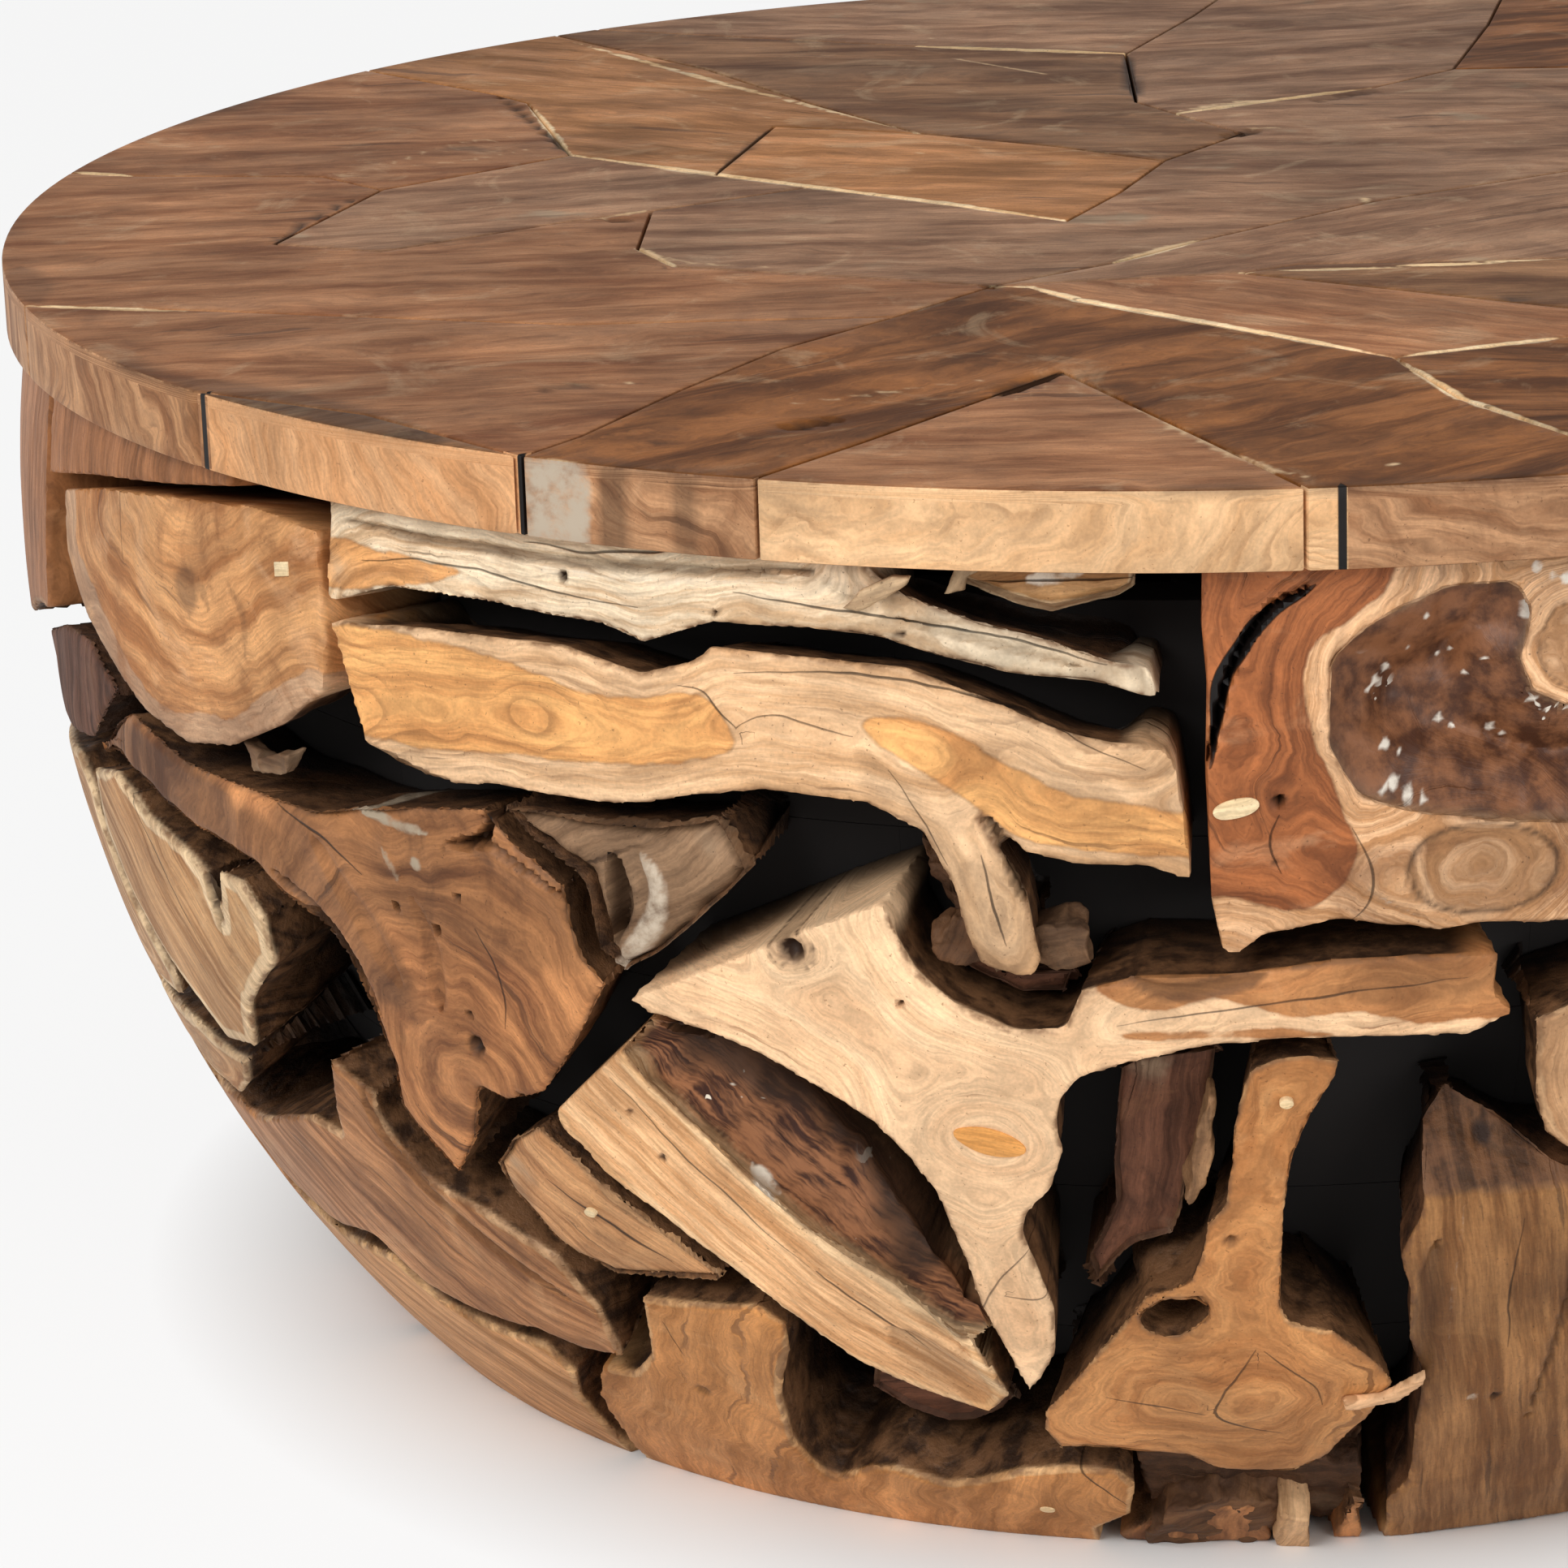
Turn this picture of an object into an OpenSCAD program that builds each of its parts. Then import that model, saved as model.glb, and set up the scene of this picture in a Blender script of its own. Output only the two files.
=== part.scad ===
// Round coffee table of teak roots: a disc of sawn slabs on a bowl of root pieces cut to a ball.
// Millimetres, +Z up, origin on the floor under the middle of the top, the front towards -Y.

/* [Top] */
// Diameter of the round top
top_d = 1000; // [920:10:1080]
// Height of the table, floor to top
table_h = 450; // [430:5:480]
// Thickness of the top's slabs
top_t = 29; // [20:1:40]
// Width of the seams between the slabs
seam_gap = 1.2; // [0.6:0.2:2]

/* [Bowl of roots] */
// How far the top stands out past the roots, at its underside
rim_overhang = 12; // [4:1:30]
// How far the ball's middle lies below the underside of the top
ball_drop = 84; // [70:1:100]
// Thickness of the root pieces, from the ball's face inwards
root_t = 58; // [45:1:75]
// Width of the tight joints between root pieces
root_gap = 1.5; // [1:0.5:4]
// How far the two rim roots at the left stand out past the ball
rim_swell = 4.5; // [0:0.5:4.5]
// How far the chunks behind the front pieces are set back
set_back = 22; // [10:1:30]
// Depth of the hollow in the burl section
hollow_depth = 24; // [10:1:35]
// Depth of the split log's trough
trough_depth = 34; // [15:1:40]

/* [Inner frame] */
// Clearance between the frame's curved faces and what they carry
seat_gap = 0.3; // [0.2:0.1:0.6]
// Thickness of the black backing behind the roots
backing_t = 4; // [2:0.5:6]
// Number of hoops, floor to top
hoop_count = 6; // [5:1:7]
// Height of a hoop
hoop_h = 24; // [18:1:32]
// Width of a hoop, outside to inside
hoop_w = 20; // [14:1:28]
// Number of ribs, and of the segments that make up a hoop
rib_count = 8; // [6:1:12]
// Width of a rib
rib_w = 30; // [20:1:40]
// Depth of a rib, outside to inside
rib_depth = 24; // [18:1:32]
// Number of bearers under the slabs
bearer_count = 5; // [4:1:7]
// Width of a bearer
bearer_w = 45; // [30:1:60]
// Height of a bearer
bearer_h = 28; // [20:1:36]

/* [Hidden] */
$fn = 180;
top_r = top_d / 2;
under_z = table_h - top_t;
ball_z = under_z - ball_drop;
ball_r = norm([top_r - rim_overhang, ball_drop]);
inner_r = ball_r - root_t;
backing_r = inner_r - seat_gap;
hoop_r = backing_r - backing_t - seat_gap;
rib_r = hoop_r - hoop_w - seat_gap;
wedge_near = inner_r / 2;
wedge_far = ball_r + root_t / 2;
room = 4 * ball_r;
bearer_z = under_z - bearer_h;

// The slabs' outlines, seen from above, in thousandths of the top's diameter. Those at the rim run
// past it and are cut by the disc, and neighbours share their corners.
thousandth = top_d / 1000;
triangle = [[-54, -326], [-27, -380], [2, -438], [44, -525], [-182, -525], [-154, -472], [-122, -427],
  [-78, -361]];
front = [[-84, -181], [-69, -185], [-50, -209], [3, -255], [67, -312], [88, -376], [123, -431],
  [150, -525], [44, -525], [2, -438], [-27, -380], [-54, -326], [-78, -361], [-122, -427], [-154, -472],
  [-182, -525], [-280, -500], [-240, -439], [-222, -411], [-192, -344], [-160, -282], [-120, -232]];
edge_strip = [[-392, -322], [-303, -374], [-240, -439], [-280, -500], [-420, -400]];
front_left = [[-560, -172], [-462, -187], [-397, -199], [-244, -236], [-120, -232], [-160, -282],
  [-192, -344], [-222, -411], [-240, -439], [-303, -374], [-392, -322], [-420, -400], [-560, -300]];
left = [[-560, 95], [-466, 66], [-380, 56], [-351, 26], [-381, -80], [-335, -98], [-262, -45],
  [-231, -28], [-230, -101], [-212, -136], [-84, -181], [-120, -232], [-244, -236], [-397, -199],
  [-462, -187], [-560, -172]];
leaf = [[-381, -80], [-351, 26], [-316, 57], [-277, 93], [-210, 45], [-167, 15], [-231, -28],
  [-262, -45], [-335, -98]];
back_left = [[-560, 95], [-466, 66], [-380, 56], [-351, 26], [-316, 57], [-277, 93], [-309, 216],
  [-325, 237], [-450, 360]];
orange = [[-277, 93], [-210, 45], [-192, 149], [-127, 127], [-178, 200], [-234, 292], [-340, 420],
  [-450, 360], [-325, 237], [-309, 216]];
small_plank = [[-210, 45], [-192, 149], [-127, 127], [-66, 92], [-19, 56], [-37, -8], [-58, -63],
  [-104, -28], [-167, 15]];
dark_back = [[-127, 127], [-178, 200], [-234, 292], [-340, 420], [-230, 376], [-137, 339], [-38, 309],
  [-32, 190], [-14, 160], [15, 113], [-19, 56], [-66, 92]];
back_rim = [[-340, 420], [-230, 376], [-137, 339], [-38, 309], [-7, 405], [25, 525], [-250, 525]];
back = [[-38, 309], [-7, 405], [25, 525], [155, 525], [133, 366], [112, 254], [74, 212], [33, 189],
  [-14, 160], [-32, 190]];
back_right = [[112, 254], [133, 366], [155, 525], [480, 430], [340, 300], [230, 250]];
right_back = [[230, 250], [340, 300], [480, 430], [560, 210], [300, 100], [262, 180]];
grey_middle = [[-231, -28], [-167, 15], [-104, -28], [-58, -63], [-37, -8], [-19, 56], [15, 113],
  [-14, 160], [33, 189], [74, 212], [112, 254], [230, 250], [262, 180], [300, 100], [150, 19],
  [67, -36], [-5, -106], [-37, -143], [-84, -181], [-212, -136], [-230, -101]];
long_wedge = [[-84, -181], [-37, -143], [-5, -106], [67, -36], [150, 19], [300, 100], [322, -20],
  [300, -142], [140, -150], [35, -152], [12, -166]];
right = [[300, 100], [560, 210], [560, -110], [300, -142], [322, -20]];
slim = [[12, -166], [35, -152], [140, -150], [300, -142], [310, -215], [190, -263], [134, -236]];
pale_blade = [[-84, -181], [12, -166], [134, -236], [190, -263], [132, -284], [67, -312], [3, -255],
  [-50, -209], [-69, -185]];
right_middle = [[300, -142], [560, -110], [560, -340], [310, -215]];
front_right = [[67, -312], [132, -284], [190, -263], [255, -360], [310, -525], [150, -525], [123, -431],
  [88, -376]];
right_front = [[190, -263], [310, -215], [560, -340], [310, -525], [255, -360]];

// The root pieces' outlines on the ball, as degrees [round from the front, up from its middle]. They
// are drawn on a bowl whose rim and foot lie at these angles, and are stretched to the real ones.
// Those at the top and the floor run past them and are cut level.
drawn_rim_angle = 9.7664;
drawn_foot_angle = 42.885;
left_flank = [[-79.8, 15], [-79.8, -4.6], [-77, -4], [-72, -2.2], [-67.8, -1.2], [-67.2, 4], [-67.5, 15]];
rim_face = [[-66.8, 5.4], [-60, 6.8], [-52, 8], [-47, 8.8], [-46.8, 15], [-67, 15]];
shield = [[-66, 5], [-65.8, 2], [-63, -0.5], [-59.5, -2], [-56, -3.3], [-52, -3.8], [-48, -3],
  [-44, -1.2], [-41, 1], [-40.7, 3], [-41.4, 8], [-46, 8.3], [-52, 7.6], [-60, 6.4]];
dark_corner = [[-79.8, -5.2], [-75, -3.8], [-68, -1.8], [-63.5, -1.4], [-59.6, -3.2], [-65.5, -7.2],
  [-70, -8], [-79.8, -9.2]];
root_leaf = [[-66, -8.3], [-62, -7.3], [-58.5, -8.4], [-55, -9], [-52.6, -9.9], [-52.2, -12.2],
  [-51.5, -9.4], [-49.3, -9.3], [-47.8, -11], [-48, -13.5], [-52, -16.8], [-53.5, -19.7],
  [-57, -20.2], [-61, -18], [-65, -15], [-67, -11.5]];
sliver = [[-79.8, -10], [-70.5, -8.8], [-68, -10.2], [-68.4, -12], [-66.4, -15.3], [-62.6, -18.4],
  [-63.5, -20], [-70, -20.6], [-79.8, -18.4]];
small_leaf = [[-72, -21.4], [-63, -20.6], [-58.5, -20.9], [-55.6, -20.7], [-57.5, -23], [-60.5, -24.6],
  [-65, -24.8], [-70.5, -24.4]];
left_heel = [[-79.8, -19.6], [-73.5, -21.2], [-71.8, -24.6], [-69, -28], [-64.5, -31.5], [-66.5, -42],
  [-66.5, -50], [-79.8, -50]];
brown = [[-58.6, -3.6], [-52.6, -4.6], [-46.7, -4.5], [-43, -4.6], [-39.6, -3.7], [-37.4, -3.3],
  [-32.2, -2.4], [-30.6, -3.9], [-28.2, -5.4], [-27.8, -8.6], [-26.6, -9.9], [-29.8, -14.6],
  [-31.4, -16.3], [-33.8, -17.3], [-35.3, -17], [-36.5, -20], [-39, -22.7], [-40.6, -21.2],
  [-42, -19.2], [-41.2, -16.8], [-41.6, -14.3], [-42.3, -12], [-43.5, -10.7], [-46.4, -9.8],
  [-48, -8.7], [-51, -8.4], [-56, -7.9], [-61, -6.8], [-64.6, -7.2], [-61, -4.6]];
crescent = [[-31.5, -2.3], [-26, -2.2], [-23.5, -2], [-20.6, -1.3], [-19.2, -3.8], [-20.7, -5.4],
  [-23.7, -8], [-25.8, -9.4], [-27.2, -8.4], [-27.6, -5.2], [-30, -3.8]];
branch = [[-41, 9.3], [-40.8, 15], [-14.6, 15], [-14, 9.4], [-12.4, 8.5], [-9.9, 7.7], [-6.6, 6.9],
  [-3.6, 5.9], [-2.5, 5.7], [-2.1, 4.3], [-4.9, 4.8], [-8.2, 5.1], [-11.1, 5.7], [-13.7, 6.4],
  [-16.3, 6.5], [-20.8, 6.5], [-24, 5.3], [-26.1, 5.9], [-31.2, 6.1], [-37.1, 6], [-40.8, 4.9]];
fork = [[-40.6, 4.3], [-34.8, 5], [-27.8, 5.2], [-24, 4.5], [-21.7, 5.2], [-20.8, 5.9], [-16.3, 5.8],
  [-12.4, 5.6], [-9.1, 4.5], [-5.7, 3.1], [-1.9, 2.4], [-1.5, 1.8], [-1.1, -0.8], [-0.9, -3.2],
  [-2.5, -2.8], [-5.6, -2.7], [-7.7, -2.2], [-9.4, -0.6], [-8, -2.8], [-7.5, -3.8], [-7, -6.8],
  [-7.4, -7.6], [-8.4, -7.7], [-9.8, -7.1], [-10.4, -5.6], [-10.8, -3.8], [-12, -1.5], [-14.2, -0.4],
  [-18.6, -0.3], [-21.6, -0.8], [-23.9, -1.4], [-26.3, -1.6], [-31.4, -1.6], [-37.3, -2.5],
  [-38.1, -2.3], [-38.9, 0.1], [-39.8, 2.5]];
short = [[-10.9, 8.7], [-10.9, 15], [-3, 15], [-3, 8.6], [-3.8, 8.1], [-6.6, 7.4], [-8.6, 7.8]];
section = [[-0.4, 15], [-0.6, 7.5], [-0.4, 5.1], [-0.5, 1.5], [-0.3, -4], [0.1, -6.2], [0.6, -6.5],
  [2.1, -5.9], [4.7, -5.3], [6.7, -5.7], [8.6, -6], [10.5, -5.8], [14.2, -6], [20, -6.4], [25, -5],
  [26.8, -1], [26.2, 5], [26.8, 15]];
section_hollow = [[4.9, 5.7], [6.3, 6.9], [8, 7.6], [9.3, 8.2], [12, 8.3], [12.4, 7.4], [12, 5.5],
  [12.5, 4], [14, 3.1], [17, 3.6], [19, 1.4], [17, -1], [14, -1], [8.6, -0.3], [5.8, 0.5], [4.7, 2.5]];
y_shape = [[-25.8, -10.2], [-22.9, -8.8], [-17.3, -6], [-13.6, -4.4], [-13, -5.9], [-12.3, -7.4],
  [-10.9, -8.7], [-8.5, -9.8], [-6.4, -9.7], [-5.7, -8], [-3.3, -7.2], [1.1, -7.1], [4.7, -6.6],
  [8, -6.5], [11.5, -6.7], [11.4, -8.6], [12.3, -9.5], [10.5, -10.6], [5.5, -10.5], [2.4, -10.5],
  [-0.7, -10.8], [-3.8, -11.6], [-5.7, -12.3], [-6.5, -13.3], [-6.7, -14.4], [-6.5, -15.9],
  [-7.2, -18], [-8.3, -19.2], [-8.6, -20.3], [-8.2, -21.8], [-7.5, -24.8], [-7.8, -27.6],
  [-8.7, -29.4], [-9.6, -30.4], [-10.4, -27.9], [-11.3, -25], [-11.7, -22.2], [-12.6, -18.4],
  [-13.6, -16.7], [-15.1, -15], [-17.1, -13.7], [-19.7, -12.3], [-22.1, -11.5], [-24.7, -10.9]];
trough = [[-25.1, -11.3], [-26.5, -12.7], [-30.9, -16.7], [-30.8, -17.7], [-29.1, -19.9],
  [-27.2, -21.4], [-23.3, -24.6], [-20.7, -27], [-18.3, -29.3], [-15.6, -30.7], [-11.8, -32.1],
  [-10.4, -31], [-11, -28.7], [-12.1, -25], [-15, -20.6], [-19.4, -15.2], [-22.4, -12.1]];
trough_bed = [[-24.6, -10.9], [-26.4, -12.9], [-22.6, -16.8], [-18.9, -20.8], [-15.1, -23.5],
  [-12.2, -26.8], [-8, -22], [-16, -9]];
plate = [[-36.3, -20.9], [-34.7, -19.2], [-32.4, -17.9], [-30.5, -19.6], [-27.6, -22.1], [-24, -25.1],
  [-24.5, -25.7], [-30.9, -26.6], [-33.8, -25.2], [-35.8, -22.5]];
notched = [[-69, -25.6], [-60, -25.3], [-50.5, -22], [-48, -22.3], [-46.1, -17.6], [-42.9, -18.8],
  [-43.4, -20.3], [-41.8, -23.1], [-37.9, -24.1], [-34.1, -25.9], [-32.7, -28.9], [-33, -32.6],
  [-35.7, -32.9], [-39.1, -32.4], [-44, -32.9], [-48.3, -32.5], [-51, -30.2], [-57.6, -31.4],
  [-63, -30.4]];
lowest = [[-63.6, -31.4], [-57.6, -32.1], [-50.8, -31], [-48.3, -33.3], [-43.7, -33.6], [-39.4, -33.4],
  [-38.3, -35.5], [-39.9, -38], [-40.1, -41.6], [-40.3, -50], [-65.6, -50], [-65.6, -42]];
hooked = [[-29.8, -27.2], [-22.8, -26.2], [-21.3, -27.4], [-21.6, -29.3], [-23.3, -33], [-24, -36.7],
  [-23.1, -39.4], [-20.4, -37.8], [-18.5, -37.4], [-16, -38.3], [-14, -37.8], [-11.3, -36.5],
  [-8.4, -35.9], [-5.4, -36.2], [-4.5, -37.3], [-5, -40.2], [-7.2, -41.8], [-8, -50], [-39.3, -50],
  [-39.2, -42], [-37.6, -36.6], [-35.6, -33.8], [-33.4, -33.4], [-31.2, -31.6], [-30.3, -29.1]];
t_shape = [[1.1, -11.7], [2.4, -11.1], [3.8, -11], [5.2, -11.3], [5.1, -12.2], [4, -14.4],
  [3.4, -16.3], [3, -19.3], [3, -24.3], [3.4, -25.4], [5.4, -26], [7.1, -27.6], [8.2, -28.9],
  [8.7, -29.8], [7.6, -32.2], [6.7, -33.5], [5.6, -35.3], [3.9, -36.6], [-0.4, -36.2], [-2, -35.1],
  [-7.1, -34.7], [-8.7, -34.9], [-9.4, -33.2], [-9.2, -31.7], [-8, -30.2], [-6, -27.2], [-3.7, -23.8],
  [-1.6, -22.9], [-1.1, -21.5], [-0.8, -19.6], [0, -18.6], [0.4, -14.3], [0.8, -12.5]];
t_hole = [[-3.6, -25.1], [-2.6, -24.3], [-0.8, -24.2], [-0.9, -25.3], [-2.2, -26.3], [-3.4, -26]];
foot_left = [[-4.3, -40.9], [-2.1, -39.2], [1.7, -39.2], [3.1, -40.5], [2.4, -50], [-7, -50],
  [-6.4, -42.4]];
foot_middle = [[3.2, -50], [3.6, -41], [4.3, -40.3], [5.2, -40.6], [5.6, -50]];
foot_right = [[6.4, -50], [6.6, -40.2], [7.9, -39.4], [8.4, -41.5], [8.7, -50]];
stump_shape = [[8.9, -16.2], [10.3, -15], [12.8, -16.2], [15.1, -17.7], [17.5, -18.2], [18.6, -19.4],
  [20, -24.6], [23.8, -28.8], [26.8, -31], [26.8, -50], [9.3, -50], [9.4, -42], [8.9, -39.5],
  [9.9, -37.6], [9.5, -29.5], [8.6, -27], [8.4, -23.9], [7.8, -21.8], [8.6, -19.5], [8.6, -18]];
right_shape = [[12.9, -9.9], [14.5, -9.3], [19, -8.3], [26.8, -7.6], [26.8, -29.9], [24.2, -28.1],
  [20.6, -24.2], [19.3, -19], [17.9, -17.4], [15.1, -16.9], [13.8, -15.8], [13.2, -14.1], [13, -11.7]];
behind_t = [[-3.6, -12.5], [0.3, -11.8], [0, -14.3], [-0.4, -18.4], [-1.2, -19.4], [-1.5, -21.2],
  [-2, -22.6], [-4, -23.4], [-6.2, -26.3], [-6.8, -24], [-5.3, -20.5], [-5.1, -16], [-4.6, -13]];
bark_chunk = [[-12, -7.7], [-10.2, -7.8], [-8.6, -8.3], [-5.9, -8.2], [-6.4, -9.7], [-8.5, -9.8],
  [-10.9, -8.7]];
chunk_low = [[-19.5, -32.4], [-13, -33], [-10.8, -34.4], [-12, -35.8], [-14.1, -37.2], [-16, -37.7],
  [-18.5, -36.7], [-20.4, -35]];
chunk_foot = [[-3.9, -37.4], [-0.4, -36.9], [4, -37.3], [6, -36.2], [7.6, -36], [8.4, -37], [7.9, -38.6],
  [6, -39.4], [4, -39.6], [1.8, -38.6], [-2.2, -38.6], [-4, -38.9]];

// The courses of roots that go round the rest of the bowl as well, each as an outline, and where a
// piece has a hollow or a hole, the outline and depth of that
through = root_t + 1;
rim_course = [[left_flank], [rim_face], [shield], [branch], [section, section_hollow, hollow_depth]];
upper_course = [[dark_corner], [sliver], [root_leaf], [brown], [crescent], [fork]];
middle_course = [[small_leaf], [plate], [trough, trough_bed, trough_depth], [y_shape], [right_shape]];
foot_course = [[left_heel], [notched], [lowest], [hooked], [t_shape, t_hole, through], [stump_shape]];
seen_from_angle = -79.8;
seen_to_angle = 27;
far_angle = (360 - (seen_to_angle - seen_from_angle)) / 2;
wave_round_angle = 1.5;
wave_up_angle = 0.8;

// The area of an outline, negative when it runs clockwise
function area(outline) =
  let (n = len(outline))
  [for (i = [0:n - 1]) 1] * [for (i = [0:n - 1]) cross(outline[i], outline[(i + 1) % n]) / 2];

// Direction at right angles to the edge from one point to the next, to the outline's inside
function inward(from, to, turn) =
  let (edge = (to - from) / norm(to - from))
  turn * [-edge[1], edge[0]];

// The outline with each edge moved inwards by a distance
function inset(outline, distance) =
  let (n = len(outline), turn = sign(area(outline)))
  [for (i = [0:n - 1])
    let (a = inward(outline[(i + n - 1) % n], outline[i], turn),
         b = inward(outline[i], outline[(i + 1) % n], turn))
    outline[i] + distance * (a + b) / max(0.4, 1 + a * b)];

// An outline of a root, stretched from the drawn bowl to the real one
function stretched(outline) =
  let (rim = asin(ball_drop / ball_r) / drawn_rim_angle,
       foot = asin(ball_z / ball_r) / drawn_foot_angle)
  [for (p = outline) [p[0], p[1] * (p[1] > 0 ? rim : foot)]];

// The middle of an outline's extent
function middle(outline) =
  let (across = [for (p = outline) p[0]], up = [for (p = outline) p[1]])
  [(min(across) + max(across)) / 2, (min(up) + max(up)) / 2];

// A point of the ball seen from its middle, on the plane that touches the ball at a centre point
function on_plane(p, centre) =
  let (round = p[0] - centre[0],
       reach = sin(centre[1]) * sin(p[1]) + cos(centre[1]) * cos(p[1]) * cos(round))
  [cos(p[1]) * sin(round), cos(centre[1]) * sin(p[1]) - sin(centre[1]) * cos(p[1]) * cos(round)] / reach;

// An outline carried to the side of the bowl that its number names, gently changed on the way
function far_side(outline, side) =
  [for (p = outline)
    let (share = (p[0] - seen_from_angle) / (seen_to_angle - seen_from_angle),
         along = side == 1 ? 1 - share : share,
         calm = sin(180 * along))
    [seen_to_angle + (side - 1) * far_angle + along * far_angle
        + calm * wave_round_angle * sin(9 * p[1] + 110 * side),
      p[1] + calm * wave_up_angle * sin(4 * p[0] + 80 * side)]];

// One slab of the top, cut round at the rim
module slab(outline) {
  translate([0, 0, under_z])
    linear_extrude(height = top_t)
      intersection() {
        circle(r = top_r);
        polygon(inset(outline * thousandth, seam_gap / 2));
      }
}

// A wedge that narrows to the ball's middle and meets the ball in the outline
module wedge(outline, gap = root_gap) {
  real = stretched(outline);
  centre = middle(real);
  flat = [for (p = real) on_plane(p, centre) * wedge_near];
  translate([0, 0, ball_z])
    rotate([90 - centre[1], 0, centre[0]])
      translate([0, 0, wedge_near])
        linear_extrude(height = wedge_far - wedge_near, scale = wedge_far / wedge_near)
          polygon(inset(flat, gap / 2 * wedge_near / ball_r));
}

// A ball about the bowl's middle
module ball(r) {
  translate([0, 0, ball_z])
    sphere(r = r);
}

// A level layer of the ball with an outer radius
module layer(r, low, high) {
  intersection() {
    ball(r);
    translate([-room / 2, -room / 2, low])
      cube([room, room, high - low]);
  }
}

// The wall of the bowl, floor to underside, its face moved out by a rise
module bowl_wall(rise = 0) {
  difference() {
    layer(ball_r + rise, 0, under_z);
    ball(inner_r);
  }
}

// One root piece, its face cut to the ball
module root(outline, rise = 0, gap = root_gap) {
  intersection() {
    bowl_wall(rise);
    wedge(outline, gap);
  }
}

// A root piece with a hollow cut into its face down to a depth, or a hole right through
module hollow_root(outline, hollow, depth) {
  difference() {
    root(outline);
    difference() {
      wedge(hollow, 0);
      ball(ball_r - depth);
    }
  }
}

// The root pieces of one course on a far side of the bowl
module far_roots(course, side) {
  for (piece = course)
    if (len(piece) == 1)
      root(far_side(piece[0], side));
    else
      hollow_root(far_side(piece[0], side), far_side(piece[1], side), piece[2]);
}

module slab_triangle() { color("#c29a6b") slab(triangle); }
module slab_front() { color("#8a6242") slab(front); }
module slab_edge_strip() { color("#c9a274") slab(edge_strip); }
module slab_front_left() { color("#8f6b4a") slab(front_left); }
module slab_left() { color("#86664b") slab(left); }
module slab_leaf() { color("#8d725a") slab(leaf); }
module slab_back_left() { color("#7a5f4a") slab(back_left); }
module slab_orange() { color("#a3703f") slab(orange); }
module slab_small_plank() { color("#a97547") slab(small_plank); }
module slab_dark_back() { color("#7d6048") slab(dark_back); }
module slab_back_rim() { color("#8a6a4e") slab(back_rim); }
module slab_back() { color("#86705c") slab(back); }
module slab_back_right() { color("#93714f") slab(back_right); }
module slab_right_back() { color("#7f6349") slab(right_back); }
module slab_grey_middle() { color("#8b7460") slab(grey_middle); }
module slab_long_wedge() { color("#9a7654") slab(long_wedge); }
module slab_right() { color("#8c6a4c") slab(right); }
module slab_slim() { color("#6f5440") slab(slim); }
module slab_pale_blade() { color("#ad8356") slab(pale_blade); }
module slab_right_middle() { color("#a0784f") slab(right_middle); }
module slab_front_right() { color("#84583b") slab(front_right); }
module slab_right_front() { color("#937052") slab(right_front); }

module left_flank_root() { color("#7c5c42") root(left_flank, rim_swell); }
module rim_block() { color("#a07848") root(rim_face, rim_swell); }
module shield_root() { color("#b98a55") root(shield); }
module dark_corner_root() { color("#5d4633") root(dark_corner); }
module leaf_root() { color("#a68a6a") root(root_leaf); }
module sliver_root() { color("#9b7a55") root(sliver); }
module small_leaf_root() { color("#b08d62") root(small_leaf); }
module left_heel_root() { color("#8d6b48") root(left_heel); }
module brown_root() { color("#7d5a3c") root(brown); }
module crescent_log() { color("#6e5a48") root(crescent); }
module long_branch() { color("#b9a184") root(branch); }
module forked_trunk() { color("#c99d66") root(fork); }
module short_root() { color("#6f5a46") root(short, -set_back / 2); }

module burl_section() { color("#b08050") hollow_root(section, section_hollow, hollow_depth); }
module y_root() { color("#dcbb8d") root(y_shape); }

module trough_log() { color("#c79c66") hollow_root(trough, trough_bed, trough_depth); }
module small_plate() { color("#8b6745") root(plate); }
module notched_plank() { color("#94704b") root(notched); }
module lowest_plank() { color("#a37c50") root(lowest); }
module hooked_root() { color("#ab7f50") root(hooked); }

module t_root() { color("#b98a58") hollow_root(t_shape, t_hole, through); }
module foot_wedges() {
  color("#8f6c49")
    for (outline = [foot_left, foot_middle, foot_right])
      root(outline);
}

module stump() { color("#a58156") root(stump_shape); }
module right_root() { color("#b59064") root(right_shape); }
module root_behind_t() { color("#6b4f38") root(behind_t, -set_back); }

// The chunks behind the front pieces, the one of bark bedded on the root shaped like a Y
module chunks_behind() {
  color("#6a4d36") {
    root(bark_chunk, -set_back, 0);
    root(chunk_low, -set_back);
    root(chunk_foot, -set_back);
  }
}

module right_rim_roots() { color("#b58a59") far_roots(rim_course, 1); }
module right_upper_roots() { color("#8a6746") far_roots(upper_course, 1); }
module right_middle_roots() { color("#c09a6a") far_roots(middle_course, 1); }
module right_foot_roots() { color("#9c7850") far_roots(foot_course, 1); }
module back_rim_roots() { color("#a37b4d") far_roots(rim_course, 2); }
module back_upper_roots() { color("#967252") far_roots(upper_course, 2); }
module back_middle_roots() { color("#b48e60") far_roots(middle_course, 2); }
module back_foot_roots() { color("#8e6b48") far_roots(foot_course, 2); }

// Height of a hoop's underside, counted from the floor
function hoop_z(hoop) = hoop * (bearer_z - hoop_h) / (hoop_count - 1);

// One of the equal shares of the bowl round its middle, counted from the first rib
module sector(share, shares) {
  rotate([0, 0, share * 360 / shares])
    linear_extrude(height = table_h)
      polygon(inset([[0, 0], for (side = [0, 1, 2])
        room * [cos(side * 180 / shares), sin(side * 180 / shares)]], seat_gap / 2));
}

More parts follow.
